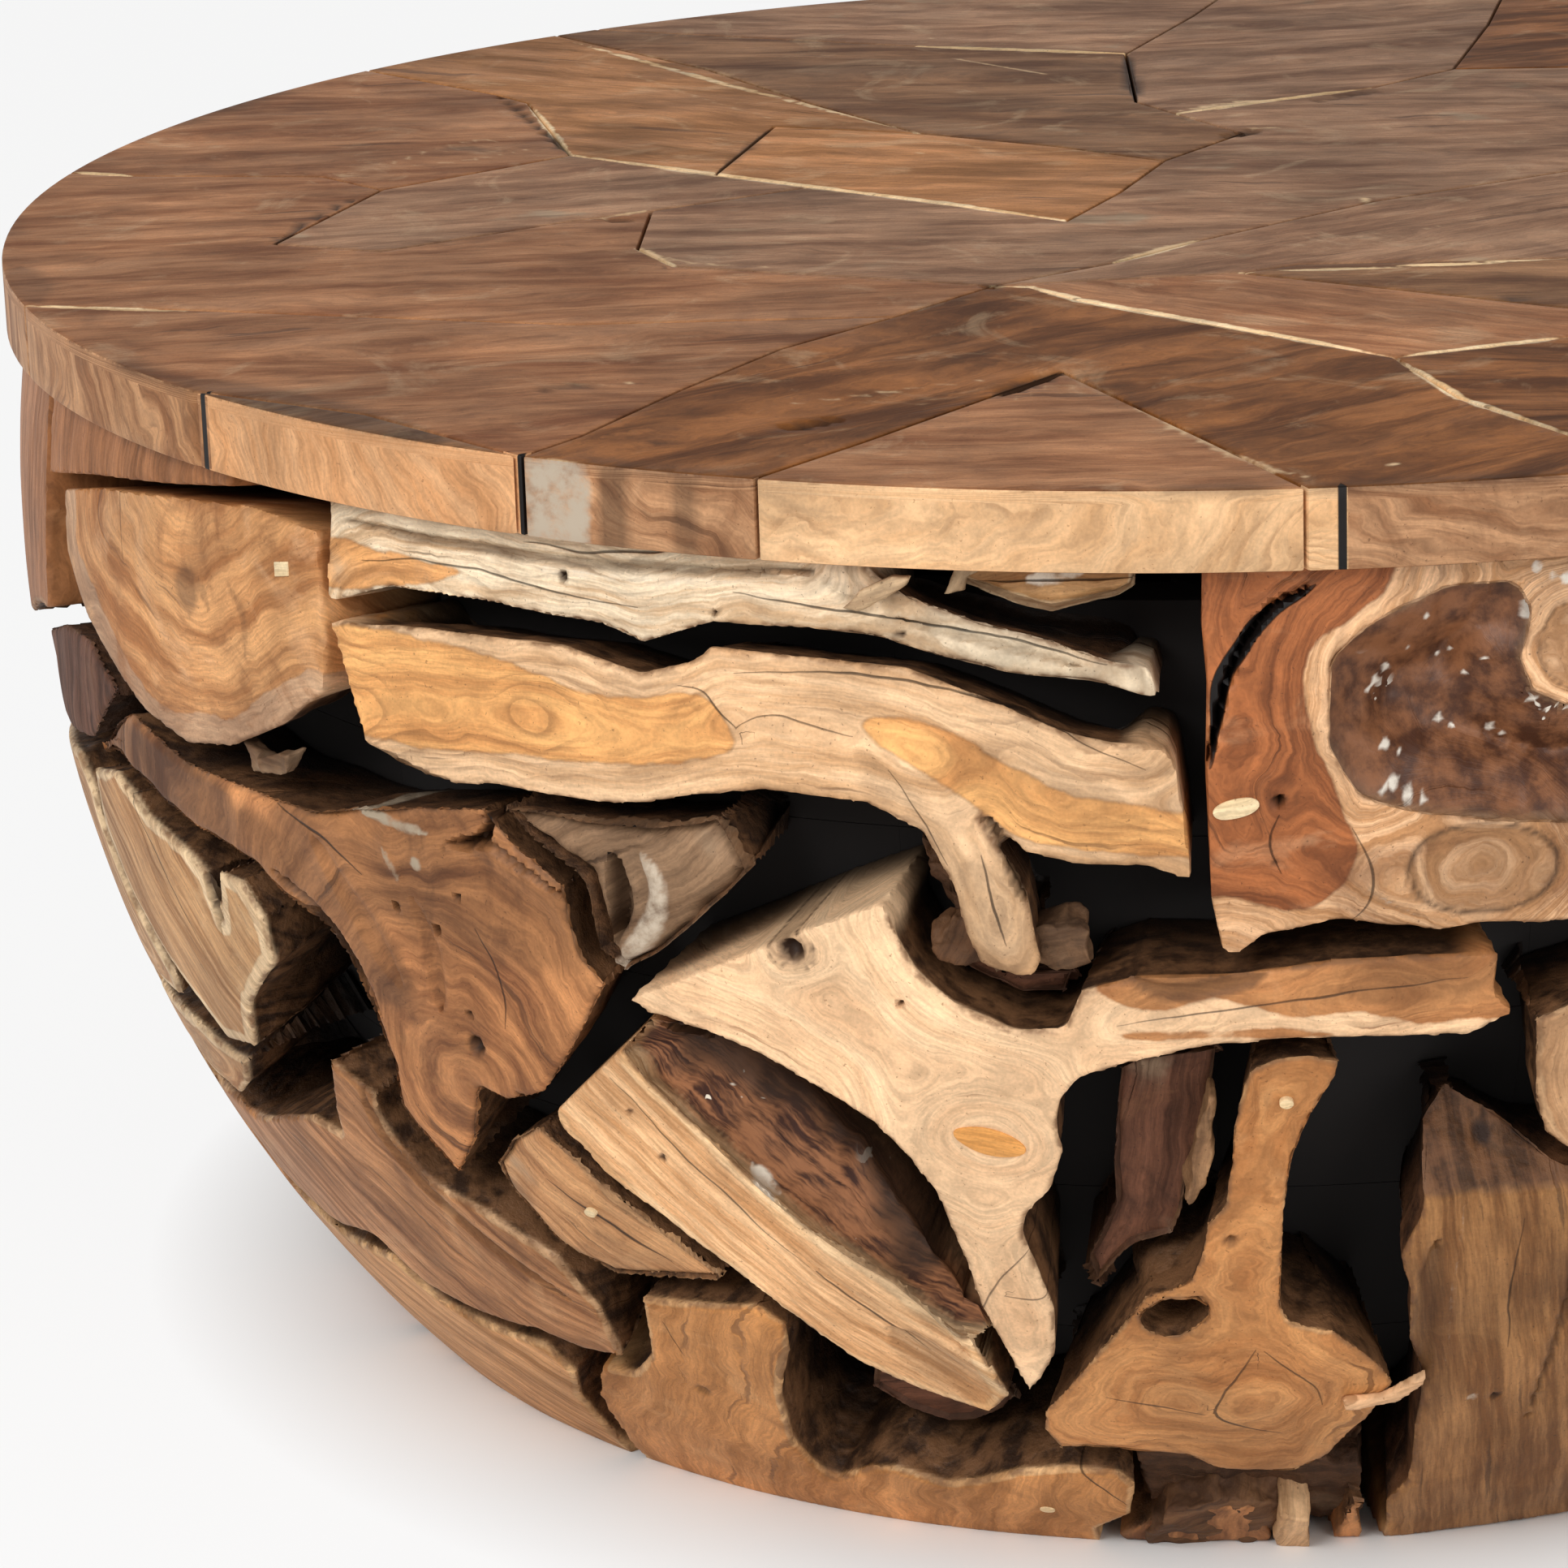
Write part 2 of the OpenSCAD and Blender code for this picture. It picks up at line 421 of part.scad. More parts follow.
// The black backing behind the roots, in thin boards on the hoops, three from each rib to the next
module black_backing() {
  boards = 3 * rib_count;
  color("#1a1512")
    for (hoop = [0:hoop_count - 2], board = [0:boards - 1])
      let (low = hoop == 0 ? 0 : hoop_z(hoop) + (hoop_h + seat_gap) / 2,
           high = hoop == hoop_count - 2 ? bearer_z : hoop_z(hoop + 1) + (hoop_h - seat_gap) / 2)
        intersection() {
          difference() {
            layer(backing_r, low, high);
            ball(backing_r - backing_t);
          }
          sector(board, boards);
        }
}

// The hoops inside the backing, each of one segment to a rib, end to end
module inner_hoops() {
  color("#2f2620")
    for (hoop = [0:hoop_count - 1], segment = [0:rib_count - 1])
      intersection() {
        difference() {
          layer(hoop_r, hoop_z(hoop), hoop_z(hoop) + hoop_h);
          ball(hoop_r - hoop_w);
        }
        sector(segment, rib_count);
      }
}

// The ribs inside the hoops, floor to bearers, over the joints of the segments
module inner_ribs() {
  color("#2a211b")
    for (rib = [0:rib_count - 1])
      intersection() {
        difference() {
          layer(rib_r, 0, bearer_z);
          ball(rib_r - rib_depth);
        }
        rotate([0, 0, rib * 360 / rib_count])
          translate([0, -rib_w / 2, 0])
            cube([room, rib_w, table_h]);
      }
}

// The bearers on the highest hoop, which carry the slabs
module top_bearers() {
  pitch = 2 * (hoop_r - hoop_w - bearer_w) / bearer_count;
  color("#332820")
    intersection() {
      layer(backing_r, bearer_z, under_z);
      for (bearer = [0:bearer_count - 1])
        translate([-room / 2, (bearer - (bearer_count - 1) / 2) * pitch - bearer_w / 2, bearer_z])
          cube([room, bearer_w, bearer_h]);
    }
}

slab_triangle();
slab_front();
slab_edge_strip();
slab_front_left();
slab_left();
slab_leaf();
slab_back_left();
slab_orange();
slab_small_plank();
slab_dark_back();
slab_back_rim();
slab_back();
slab_back_right();
slab_right_back();
slab_grey_middle();
slab_long_wedge();
slab_right();
slab_slim();
slab_pale_blade();
slab_right_middle();
slab_front_right();
slab_right_front();
left_flank_root();
rim_block();
shield_root();
dark_corner_root();
leaf_root();
sliver_root();
small_leaf_root();
left_heel_root();
brown_root();
crescent_log();
long_branch();
forked_trunk();
short_root();
burl_section();
y_root();
trough_log();
small_plate();
notched_plank();
lowest_plank();
hooked_root();
t_root();
foot_wedges();
stump();
right_root();
root_behind_t();
chunks_behind();
right_rim_roots();
right_upper_roots();
right_middle_roots();
right_foot_roots();
back_rim_roots();
back_upper_roots();
back_middle_roots();
back_foot_roots();
black_backing();
inner_hoops();
inner_ribs();
top_bearers();
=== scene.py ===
"""The looks of a round coffee table: a disc of fitted teak slabs on a bowl of teak root pieces."""

import logging
import math
from dataclasses import dataclass, field, replace
from enum import Enum
from functools import partial
from itertools import product
from typing import Any

import bmesh
import bpy
import numpy as np
from mathutils import Matrix, Vector
from mathutils.kdtree import KDTree


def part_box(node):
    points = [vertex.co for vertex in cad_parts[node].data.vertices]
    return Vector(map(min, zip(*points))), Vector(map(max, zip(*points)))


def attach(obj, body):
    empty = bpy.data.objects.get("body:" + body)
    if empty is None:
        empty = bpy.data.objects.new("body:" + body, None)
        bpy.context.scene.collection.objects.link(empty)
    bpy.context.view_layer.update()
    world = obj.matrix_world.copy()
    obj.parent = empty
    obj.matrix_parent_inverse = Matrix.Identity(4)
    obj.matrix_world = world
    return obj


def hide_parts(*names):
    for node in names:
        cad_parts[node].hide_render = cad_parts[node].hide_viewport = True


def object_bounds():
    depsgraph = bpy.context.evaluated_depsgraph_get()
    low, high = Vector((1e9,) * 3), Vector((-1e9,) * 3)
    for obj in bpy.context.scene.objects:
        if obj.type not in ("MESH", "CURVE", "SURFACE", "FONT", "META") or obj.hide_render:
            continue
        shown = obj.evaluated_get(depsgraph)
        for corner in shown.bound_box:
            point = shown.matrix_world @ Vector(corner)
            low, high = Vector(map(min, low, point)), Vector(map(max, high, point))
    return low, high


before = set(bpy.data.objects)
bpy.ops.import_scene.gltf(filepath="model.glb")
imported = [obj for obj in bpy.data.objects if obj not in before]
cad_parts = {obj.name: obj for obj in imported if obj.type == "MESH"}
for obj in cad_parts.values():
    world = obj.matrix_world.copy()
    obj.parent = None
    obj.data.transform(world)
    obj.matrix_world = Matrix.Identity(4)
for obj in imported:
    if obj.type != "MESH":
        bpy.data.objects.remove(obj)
CAD_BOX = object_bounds()
LOG = logging.getLogger("root_table")
MM = 0.001
BODY = "root"

# What the vertices carry for the materials: lengths in millimetres, and shares from 0 to 1.
FIELDS = ("ring", "heart", "edge", "depth", "bark", "stain_and_shade", "bleach_and_highlight", "hollow", "tone", "crack", "gape")
FAR = 60.0  # a distance in millimetres at which an edge no longer matters
NO_CRACK = -9.0

# Settings that many nodes share. Inputs that go by number are in the node's order: those of a Map Range
# are the value (0), the range it comes from (1, 2) and the range it goes to (3, 4), and those of a Mix of
# colours are the share (0) and the two colours (6, 7).
TIMES = {"operation": "MULTIPLY"}
PLUS = {"operation": "MULTIPLY_ADD"}
EASED = {"interpolation_type": "SMOOTHSTEP"}
COLOURS = {"data_type": "RGBA", "out": 2}

Point = tuple[float, float]
Path = tuple[Point, ...]


def linear(colour: str, alpha: float = 1.0) -> tuple[float, float, float, float]:
    """Turns an sRGB colour into the linear one that Blender's sockets hold.

    Args:
        colour: The colour as "#rrggbb".
        alpha: The fourth value.

    Returns:
        Red, green, blue and alpha, each from 0 to 1.
    """
    shares = [int(colour[i : i + 2], 16) / 255 for i in (1, 3, 5)]
    red, green, blue = (s / 12.92 if s <= 0.04045 else ((s + 0.055) / 1.055) ** 2.4 for s in shares)
    return red, green, blue, alpha


def add(
    tree: Any, kind: str, links: dict[Any, Any] | None = None, out: int | str = 0, **settings: Any
) -> Any:
    """Adds a node with its settings, and gives its sockets their values or links.

    Args:
        tree: The node tree that gets the node.
        kind: The node's type name, without the word that all shader nodes start with.
        links: A value, a hex colour or another node's output for each named or numbered input.
        out: The name or number of the output to give.
        settings: The node's own properties.

    Returns:
        The output's socket, if the node has any.
    """
    node = tree.nodes.new(f"ShaderNode{kind}")
    for name, value in settings.items():
        setattr(node, name, value)
    for socket, value in (links or {}).items():
        if isinstance(value, bpy.types.NodeSocket):
            tree.links.new(value, node.inputs[socket])
        else:
            node.inputs[socket].default_value = linear(value) if isinstance(value, str) else value
    return node.outputs[out] if node.outputs else None


def new_material(name: str) -> tuple[Any, Any]:
    """Makes an empty node material.

    Args:
        name: Its name.

    Returns:
        The material, and the add function bound to its tree.
    """
    material = bpy.data.materials.new(name)
    material.use_nodes = True
    material.node_tree.nodes.clear()
    return material, partial(add, material.node_tree)


def select_only(piece: Any) -> None:
    """Deselects everything but one piece, and makes that piece the active one.

    Args:
        piece: The object to select.
    """
    bpy.ops.object.select_all(action="DESELECT")
    piece.select_set(True)
    bpy.context.view_layer.objects.active = piece


def apply_modifier(piece: Any, kind: str, **settings: Any) -> None:
    """Adds a modifier with its settings to a piece and applies it.

    Args:
        piece: The object that gets it.
        kind: The modifier's type name.
        settings: The modifier's own properties.
    """
    select_only(piece)
    modifier = piece.modifiers.new(kind.lower(), kind)
    for name, value in settings.items():
        setattr(modifier, name, value)
    bpy.ops.object.modifier_apply(modifier=modifier.name)


def remesh(piece: Any, voxel: float) -> None:
    """Rebuilds a piece's mesh from smooth faces of one size in metres."""
    apply_modifier(piece, "REMESH", mode="VOXEL", voxel_size=voxel, adaptivity=0, use_smooth_shade=True)


def edit_whole(operator: Any, **settings: Any) -> None:
    """Runs an edit mode operator on all faces of the active piece.

    Args:
        operator: The operator.
        settings: Its settings.
    """
    bpy.ops.object.mode_set(mode="EDIT")
    bpy.ops.mesh.select_all(action="SELECT")
    operator(**settings)
    bpy.ops.object.mode_set(mode="OBJECT")


def cad_copy(node: str) -> Any:
    """Copies a CAD node's mesh into a new object and merges its loose triangles.

    Args:
        node: The CAD node's name.

    Returns:
        The new object, which sits at the origin as the node does.
    """
    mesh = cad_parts[node].data.copy()
    mesh.materials.clear()
    piece = bpy.data.objects.new(f"{node}_wood", mesh)
    bpy.context.scene.collection.objects.link(piece)
    select_only(piece)
    if mesh.has_custom_normals:
        bpy.ops.mesh.customdata_custom_splitnormals_clear()
    edit_whole(bpy.ops.mesh.remove_doubles, threshold=0.02 * MM)
    return piece


def add_prism(name: str, sides: int) -> Any:
    """Adds an upright prism, from which a plug or chip is shaped.

    Args:
        name: The new object's name.
        sides: How many sides it has.

    Returns:
        The new object.
    """
    bpy.ops.object.select_all(action="DESELECT")
    bpy.ops.mesh.primitive_cylinder_add(vertices=sides, radius=1, depth=1)
    bpy.context.active_object.name = name
    return bpy.context.active_object


def finish_piece(piece: Any, node: str, stands_for: bool = True, smooth: float = 0.0) -> None:
    """Lets a piece ride on the table and reports it.

    Args:
        piece: The finished piece.
        node: The CAD node that it belongs to.
        stands_for: Whether it is shown in that node's place.
        smooth: Angle in degrees up to which its faces are shaded smooth, or 0 to leave them.
    """
    if smooth:
        select_only(piece)
        bpy.ops.object.shade_smooth_by_angle(angle=math.radians(smooth))
    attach(piece, BODY)
    if stands_for:
        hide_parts(node)
    LOG.info("%s: %d faces", piece.name, len(piece.data.polygons))


def corners(mesh: Any) -> np.ndarray:
    """Gives a mesh's vertex places as an array of rows.

    Args:
        mesh: The mesh.

    Returns:
        One row of x, y and z in metres for each vertex.
    """
    places = np.empty(len(mesh.vertices) * 3)
    mesh.vertices.foreach_get("co", places)
    return places.reshape(-1, 3)


def move_corners(mesh: Any, places: np.ndarray) -> None:
    """Moves a mesh's vertices to the places that the rows give."""
    mesh.vertices.foreach_set("co", places.ravel())
    mesh.update()


def across_grain(angle: float) -> np.ndarray:
    """Gives the flat direction across a grain that runs at an angle in degrees."""
    return np.array([-math.sin(math.radians(angle)), math.cos(math.radians(angle))])


def ease(low: float, high: float, values: np.ndarray) -> np.ndarray:
    """Rises smoothly from 0 at the low value to 1 at the high one."""
    share = np.clip((values - low) / (high - low), 0, 1)
    return share * share * (3 - 2 * share)


def path_distance(points: np.ndarray, path: np.ndarray) -> tuple[np.ndarray, np.ndarray]:
    """Measures how far points lie from a path, and where along it they are nearest.

    Args:
        points: Rows of points.
        path: Rows of the path's points, or one row for a single point.

    Returns:
        The distances, and each nearest place as a share of the path's length.
    """
    if len(path) == 1:
        return np.linalg.norm(points - path[0], axis=1), np.full(len(points), 0.5)
    best = np.full(len(points), np.inf)
    share = np.zeros(len(points))
    lengths = np.linalg.norm(np.diff(path, axis=0), axis=1)
    start = 0.0
    for a, b, length in zip(path[:-1], path[1:], lengths):
        along = np.clip((points - a) @ (b - a) / length**2, 0, 1)
        away = np.linalg.norm(points - a - along[:, None] * (b - a), axis=1)
        nearer = away < best
        best[nearer] = away[nearer]
        share[nearer] = (start + along[nearer] * length) / lengths.sum()
        start += length
    return best, share


def rounded(path: np.ndarray, closed: bool = False, rounds: int = 2) -> np.ndarray:
    """Rounds the corners of a path off by cutting them.

    Args:
        path: Rows of the path's points.
        closed: Whether its end joins its start.
        rounds: How many times the corners are cut.

    Returns:
        Rows of the smoother path's points.
    """
    for _ in range(rounds if len(path) > 2 else 0):
        start, end = (path, np.roll(path, -1, axis=0)) if closed else (path[:-1], path[1:])
        cut = np.stack([0.75 * start + 0.25 * end, 0.25 * start + 0.75 * end], 1).reshape(-1, 2)
        path = cut if closed else np.vstack([path[:1], cut, path[-1:]])
    return path


def inside_distance(points: np.ndarray, outline: np.ndarray) -> np.ndarray:
    """Measures how far points lie inside a flat closed outline.

    Args:
        points: Rows of two coordinates.
        outline: The outline's corners as rows of two coordinates.

    Returns:
        Distances, positive inside the outline and negative outside it.
    """
    away, _ = path_distance(points, np.vstack([outline, outline[:1]]))
    inside = np.zeros(len(points), bool)
    for a, b in zip(outline, np.roll(outline, -1, axis=0)):
        crosses = (a[1] > points[:, 1]) != (b[1] > points[:, 1])
        rise = b[1] - a[1] if abs(b[1] - a[1]) > 1e-9 else 1e-9
        inside ^= crosses & (points[:, 0] < a[0] + (points[:, 1] - a[1]) * (b[0] - a[0]) / rise)
    return np.where(inside, away, -away)


@dataclass(frozen=True)
class Noise:
    """Smooth noise from 0 to 1 that gives the same values each run.

    Attributes:
        seed: Picks one noise among many.
    """

    seed: int

    def at(self, places: np.ndarray, size: float) -> np.ndarray:
        """Gives the noise at some places.

        Args:
            places: Rows of x, y and z.
            size: The width of the noise's features, in the same unit.

        Returns:
            One value from 0 to 1 for each place.
        """
        table = np.random.default_rng(self.seed).random(4096)
        scaled = places / size
        base = np.floor(scaled).astype(np.int64)
        part = scaled - base
        part = part * part * (3 - 2 * part)
        total = np.zeros(len(places))
        for corner in product((0, 1), repeat=3):
            weight = np.prod(np.where(corner, part, 1 - part), axis=1)
            cell = (base + corner) * (73856093, 19349663, 83492791)
            total += weight * table[(cell[:, 0] ^ cell[:, 1] ^ cell[:, 2]) & 4095]
        return total

    def layered(self, places: np.ndarray, size: float, layers: int = 3) -> np.ndarray:
        """Adds finer and fainter layers to the noise.

        Args:
            places: Rows of x, y and z.
            size: The width of the broadest features.
            layers: How many layers to add up.

        Returns:
            One value from 0 to 1 for each place.
        """
        weights = [0.5**layer for layer in range(layers)]
        values = [w * Noise(self.seed + layer).at(places, size * w) for layer, w in enumerate(weights)]
        return sum(values) / sum(weights)


class Uneven(Enum):
    """The noises that shape the wood: seed, width in metres and layers of each."""

    ROUGH = (3, 0.016, 3)  # lumps of the natural sides and of the hollows
    FINE = (5, 0.007, 2)  # small teeth along the edges
    BORDER = (7, 0.03, 3)  # wandering of the heartwood's outline
    BROAD = (9, 0.034, 2)  # slow swells of the faces and edges
    GROOVE = (11, 0.009, 2)  # changing width of the marks
    SAPWOOD = (17, 0.04, 2)  # changing width of the sapwood
    JAGGED = (23, 0.013, 2)  # small bends of the cracks
    BENT = (29, 0.035, 1)  # broad bends of the cracks
    SWOLLEN = (31, 0.018, 2)  # changing width of the cracks

    def at(self, places: np.ndarray) -> np.ndarray:
        """Gives the noise, from 0 to 1, at some places in metres."""
        seed, width, layers = self.value
        return Noise(seed).layered(places, width, layers)


class Pattern(Enum):
    """The noises of the wood: width in millimetres, layers, roughness and twist of each."""

    WANDER = (37.037, 4, 0.5, 0.6)  # bends of the fibres
    GROUP = (62.5, 2, 0.5, 0)  # groups of growth rings
    CRUST = (9.0909, 7, 0.64, 0)  # crumbs of bark
    FRAY = (7.6923, 4, 0.5, 0)  # ragged borders
    SWIRL = (66.667, 6, 0.62, 1.9)  # smoky swirls of a burl
    BLOTCH = (47.619, 5, 0.5, 0)  # lighter and darker blotches
    SAND = (1.2195, 2, 0.5, 0)  # marks of sanding, coarser than real ones so that they show
    PORE = (1.6129, 2, 0.6, 0)  # open pores, coarser than teak's so that they show
    CAVE = (38.4615, 5, 0.5, 1.6)  # swirls inside a hollow
    # FLECK and CLUSTER draw painted highlights: white glints in a hollow, and where they gather.
    FLECK = (8.6957, 2, 0.5, 0.8)  # white flecks inside it
    CLUSTER = (52.6316, 2, 0.5, 0)  # where those flecks gather


@dataclass
class Canvas:
    """What a finish is drawn on.

    Attributes:
        put: The add function bound to the material's tree.
        place: The socket of the object's coordinates.
        read: The sockets of the piece's fields.
        noise: The sockets of the noises.
    """

    put: Any
    place: Any
    read: dict[str, Any]
    noise: dict[Pattern, Any]


@dataclass(frozen=True)
class Wood:
    """A finish of sanded or weathered teak, as the node material that draws it.

    Attributes:
        name: The material's name.
        heart: Colour of the heartwood.
        heart_deep: Its darker streaks.
        sap: Colour of the sapwood.
        sap_deep: Its darker streaks.
        line: Colour of the late wood and of thin dark lines.
        bark: Colour of the natural sides.
        bark_deep: Their darker hollows; also the colour of dark marks, knots and painted shade.
        pale: Colour of bleached ridges, and of painted highlights: glints on ridges and in a hollow.
        ash: Colour of greyed patches.
        ash_deep: Their darker streaks.
        cavity: Colour of a hollow's inside.
        cavity_deep: Its darker parts.
        crack: Colour of the painted shade inside an open crack and in the rim's dark seams.
        painted_recess_shade: Colour of the painted shade on what lies deepest between the pieces.
        pitch: Distance between growth rings in millimetres.
        warp: How far the fibres wander to and fro, in millimetres.
        lines: How strongly the rings are drawn, from 0 to 1.
        streak: Width of a broad fibre streak in millimetres.
        fray: How much finer streaks show within it, from 0 to 1.
        contrast: How strongly the streaks are drawn, from 0 to 1.
        weather: Share of the face that has gone grey, from 0 to 1.
        rough: Roughness of the sanded face.
        grit: Height of the relief that is drawn by bump, in millimetres.
        painted_glints: Share of a hollow that is white with painted glints, from 0 to 1.
        figure: How strongly the burl's smoky swirls are drawn, from 0 to 1.
        specular: How much of its surroundings the face mirrors, from 0 to 1.
    """

    name: str
    heart: str = "#c08a56"
    heart_deep: str = "#8f5c34"
    sap: str = "#e6bd90"
    sap_deep: str = "#c3976a"
    line: str = "#5c3820"
    bark: str = "#7a5538"
    bark_deep: str = "#342114"
    pale: str = "#f2e4d0"
    ash: str = "#c2a788"
    ash_deep: str = "#6e5743"
    cavity: str = "#6e452c"
    cavity_deep: str = "#2c170c"
    crack: str = "#0d0705"
    painted_recess_shade: str = "#070403"
    pitch: float = 4.2
    warp: float = 12.0
    lines: float = 0.25
    streak: float = 5.5
    fray: float = 0.64
    contrast: float = 0.6
    weather: float = 0.0
    rough: float = 0.5
    grit: float = 0.8
    painted_glints: float = 0.0
    figure: float = 0.4
    specular: float = 0.25

    def build(self) -> Any:
        """Makes the node material, or gives the one that was made before.

        Returns:
            The material.
        """
        if self.name in bpy.data.materials:
            return bpy.data.materials[self.name]
        material, put = new_material(self.name)
        place = put("TexCoord", out="Object")
        read = {name: put("Attribute", out="Fac", attribute_name=name) for name in FIELDS}
        noise = {}
        for pattern in Pattern:
            width, detail, fine, twist = pattern.value
            links = {"Vector": place, "Scale": 1 / (width * MM), "Detail": detail, "Roughness": fine}
            noise[pattern] = put("TexNoise", links | {"Distortion": twist})
        canvas = Canvas(put, place, read, noise)
        fibre, late, hair, thread = self._grain(canvas)
        gape, crust = self._gape(canvas), noise[Pattern.CRUST]
        torn = put("MapRange", {0: put("Math", {0: crust, 1: fibre}), 1: 0.8, 2: 1.2}, **EASED)
        check = put("MapRange", {0: hair, 4: 0.55}, interpolation_type="LINEAR")
        # Pale marks broken by bark crumbs: bleached wood, and painted highlights where marks stand for
        # glints.
        pale_and_highlight = put("Math", {0: read["bleach_and_highlight"], 1: crust}, **TIMES)
        layers = (
            (put("Math", {0: hair, 1: check}, **TIMES), self.line),
            (read["bark"], put("Mix", {0: torn, 6: self.bark_deep, 7: self.bark}, **COLOURS)),
            (read["hollow"], self._cavity(canvas, thread)),
            (put("MapRange", {0: pale_and_highlight, 1: 0.16, 2: 0.5}, **EASED), self.pale),
            # Knots' stain, and painted shade in holes, grooves, a hollow's rim and shading marks.
            (read["stain_and_shade"], self.bark_deep),
            # Painted shade inside open cracks and the rim's seams.
            (gape, self.crack),
            # Painted shade in the recesses: faces that lie deeper below the ball go darker.
            (put("MapRange", {0: read["depth"], 1: 8, 2: 58, 4: 0.92}, **EASED), self.painted_recess_shade),
        )
        colour = self._face(canvas, fibre, late, thread)
        for share, over in layers:
            colour = put("Mix", {0: share, 6: colour, 7: over}, **COLOURS)
        height = 0.0
        crumbs = put("Math", {0: crust, 1: read["bark"]}, **TIMES)
        for value, rise in ((crumbs, 2.4), (fibre, 0.7), (hair, -0.5), (gape, -2.0)):
            height = put("Math", {0: value, 1: rise, 2: height}, **PLUS)
        bump = put("Bump", {"Strength": 0.85, "Distance": self.grit * MM, "Height": height})
        gloss = {0: fibre, 1: 0.3, 2: 0.7, 3: self.rough + 0.12, 4: self.rough - 0.04}
        gloss = put("MapRange", gloss, **EASED)
        damp = put("Math", {0: read["hollow"], 1: -0.3 if self.painted_glints > 0.3 else 0.2}, **TIMES)
        rough = put("Math", {0: damp, 1: gloss, 2: gloss}, **PLUS)
        face = {"Base Color": colour, "Roughness": rough, "Normal": bump, "Specular IOR Level": self.specular}
        put("OutputMaterial", {"Surface": put("BsdfPrincipled", face)})
        return material

    def _grain(self, canvas: Canvas) -> tuple[Any, Any, Any, Any]:
        """Draws the fibres and the late wood along the growth rings.

        Args:
            canvas: What they are drawn on.

        Returns:
            Sockets of the fibres, the late wood, the hair-thin dark checks and the finest threads.
        """
        put, group = canvas.put, canvas.noise[Pattern.GROUP]
        swing = {0: canvas.noise[Pattern.WANDER], 1: self.warp, 2: canvas.read["ring"]}
        swing = put("Math", swing, **PLUS)
        drawn = []
        for length, width, layers, fray in (
            (90.909, self.streak, 7, self.fray),
            (111.111, self.streak / 1.6, 3, 0.5),
            (11.7647, 1 / 0.9, 2, 0.6),
        ):
            along = put("VectorMath", {0: canvas.place, "Scale": 1 / (length * MM)}, operation="SCALE")
            across = put("Math", {0: swing, 1: 1 / width}, **TIMES)
            links = {"Vector": along, "W": across, "Scale": 1, "Detail": layers, "Roughness": fray}
            drawn.append(put("TexNoise", links, noise_dimensions="4D"))
        fibre, check, thread = drawn
        shift = put("MapRange", {0: group, 1: 0.2, 2: 0.8, 4: 3}, **EASED)
        phase = put("Math", {0: swing, 1: 1 / self.pitch, 2: shift}, **PLUS)
        turn = put("Math", {0: phase}, operation="FRACT")
        late = put("MapRange", {0: turn, 1: 0.55, 2: 0.93}, **EASED)
        for links in ({0: turn, 1: 0.94, 2: 1, 3: 1, 4: 0}, {0: group, 1: 0.44, 2: 0.6}):
            late = put("Math", {0: late, 1: put("MapRange", links, **EASED)}, **TIMES)
        return fibre, late, put("MapRange", {0: check, 1: 0.355, 2: 0.3}, **EASED), thread

    def _gape(self, canvas: Canvas) -> Any:
        """Draws the open cracks as painted shade, whose middles are where the crack field crosses zero.

        Args:
            canvas: What they are drawn on.

        Returns:
            A socket that is 1 in a wide crack, less in a thin one and 0 elsewhere.
        """
        put, gape = canvas.put, canvas.read["gape"]
        away = put("Math", {0: canvas.read["crack"]}, operation="ABSOLUTE")
        room = put("Math", {0: gape, 1: away}, operation="SUBTRACT")
        open_ = put("MapRange", {0: room, 1: -0.3, 2: 0.3}, **EASED)
        dark = put("MapRange", {0: gape, 1: -0.3, 2: 0.9, 3: 0.35}, **EASED)
        return put("Math", {0: open_, 1: dark}, **TIMES)

    def _face(self, canvas: Canvas, fibre: Any, late: Any, thread: Any) -> Any:
        """Colours the sanded face: heartwood, sapwood, rings, pores and blotches.

        Args:
            canvas: What it is drawn on.
            fibre: The socket of the fibres.
            late: The socket of the late wood.
            thread: The socket of the finest threads.

        Returns:
            The face colour's socket.
        """
        put, read, noise = canvas.put, canvas.read, canvas.noise
        half = 0.12 / self.contrast
        streak = put("MapRange", {0: fibre, 1: 0.5 - half, 2: 0.5 + half}, **EASED)
        border = put("Math", {0: noise[Pattern.FRAY], 1: 3.6, 2: read["heart"]}, **PLUS)
        inner = put("MapRange", {0: border, 1: 0.7, 2: 1.7}, **EASED)
        outer = put("MapRange", {0: border, 1: 1.9, 2: 3.2, 3: 0.5 * self.lines, 4: 0}, **EASED)
        smoke = {0: noise[Pattern.SWIRL], 1: 0.5, 2: 0.72, 4: 0.75 * self.figure}
        glow = {0: noise[Pattern.SWIRL], 1: 0.46, 2: 0.3, 4: 0.5 * self.figure}
        layers = [
            (
                put("MapRange", {0: border, 1: 1.2, 2: 2.6}, **EASED),
                put("Mix", {0: streak, 6: self.heart_deep, 7: self.heart}, **COLOURS),
            ),
            (put("Math", {0: inner, 1: outer}, **TIMES), self.line),
            (put("Math", {0: late, 1: 0.55 * self.lines}, **TIMES), self.line),
            (
                put("MapRange", smoke, **EASED),
                put("Mix", {0: 0.35, 6: self.heart_deep, 7: self.line}, **COLOURS),
            ),
            (put("MapRange", glow, **EASED), put("Mix", {0: 0.6, 6: self.heart, 7: self.sap}, **COLOURS)),
        ]
        wood = put("Mix", {0: streak, 6: self.sap_deep, 7: self.sap}, **COLOURS)
        for share, over in layers:
            wood = put("Mix", {0: share, 6: wood, 7: over}, **COLOURS)
        tone = read["tone"]
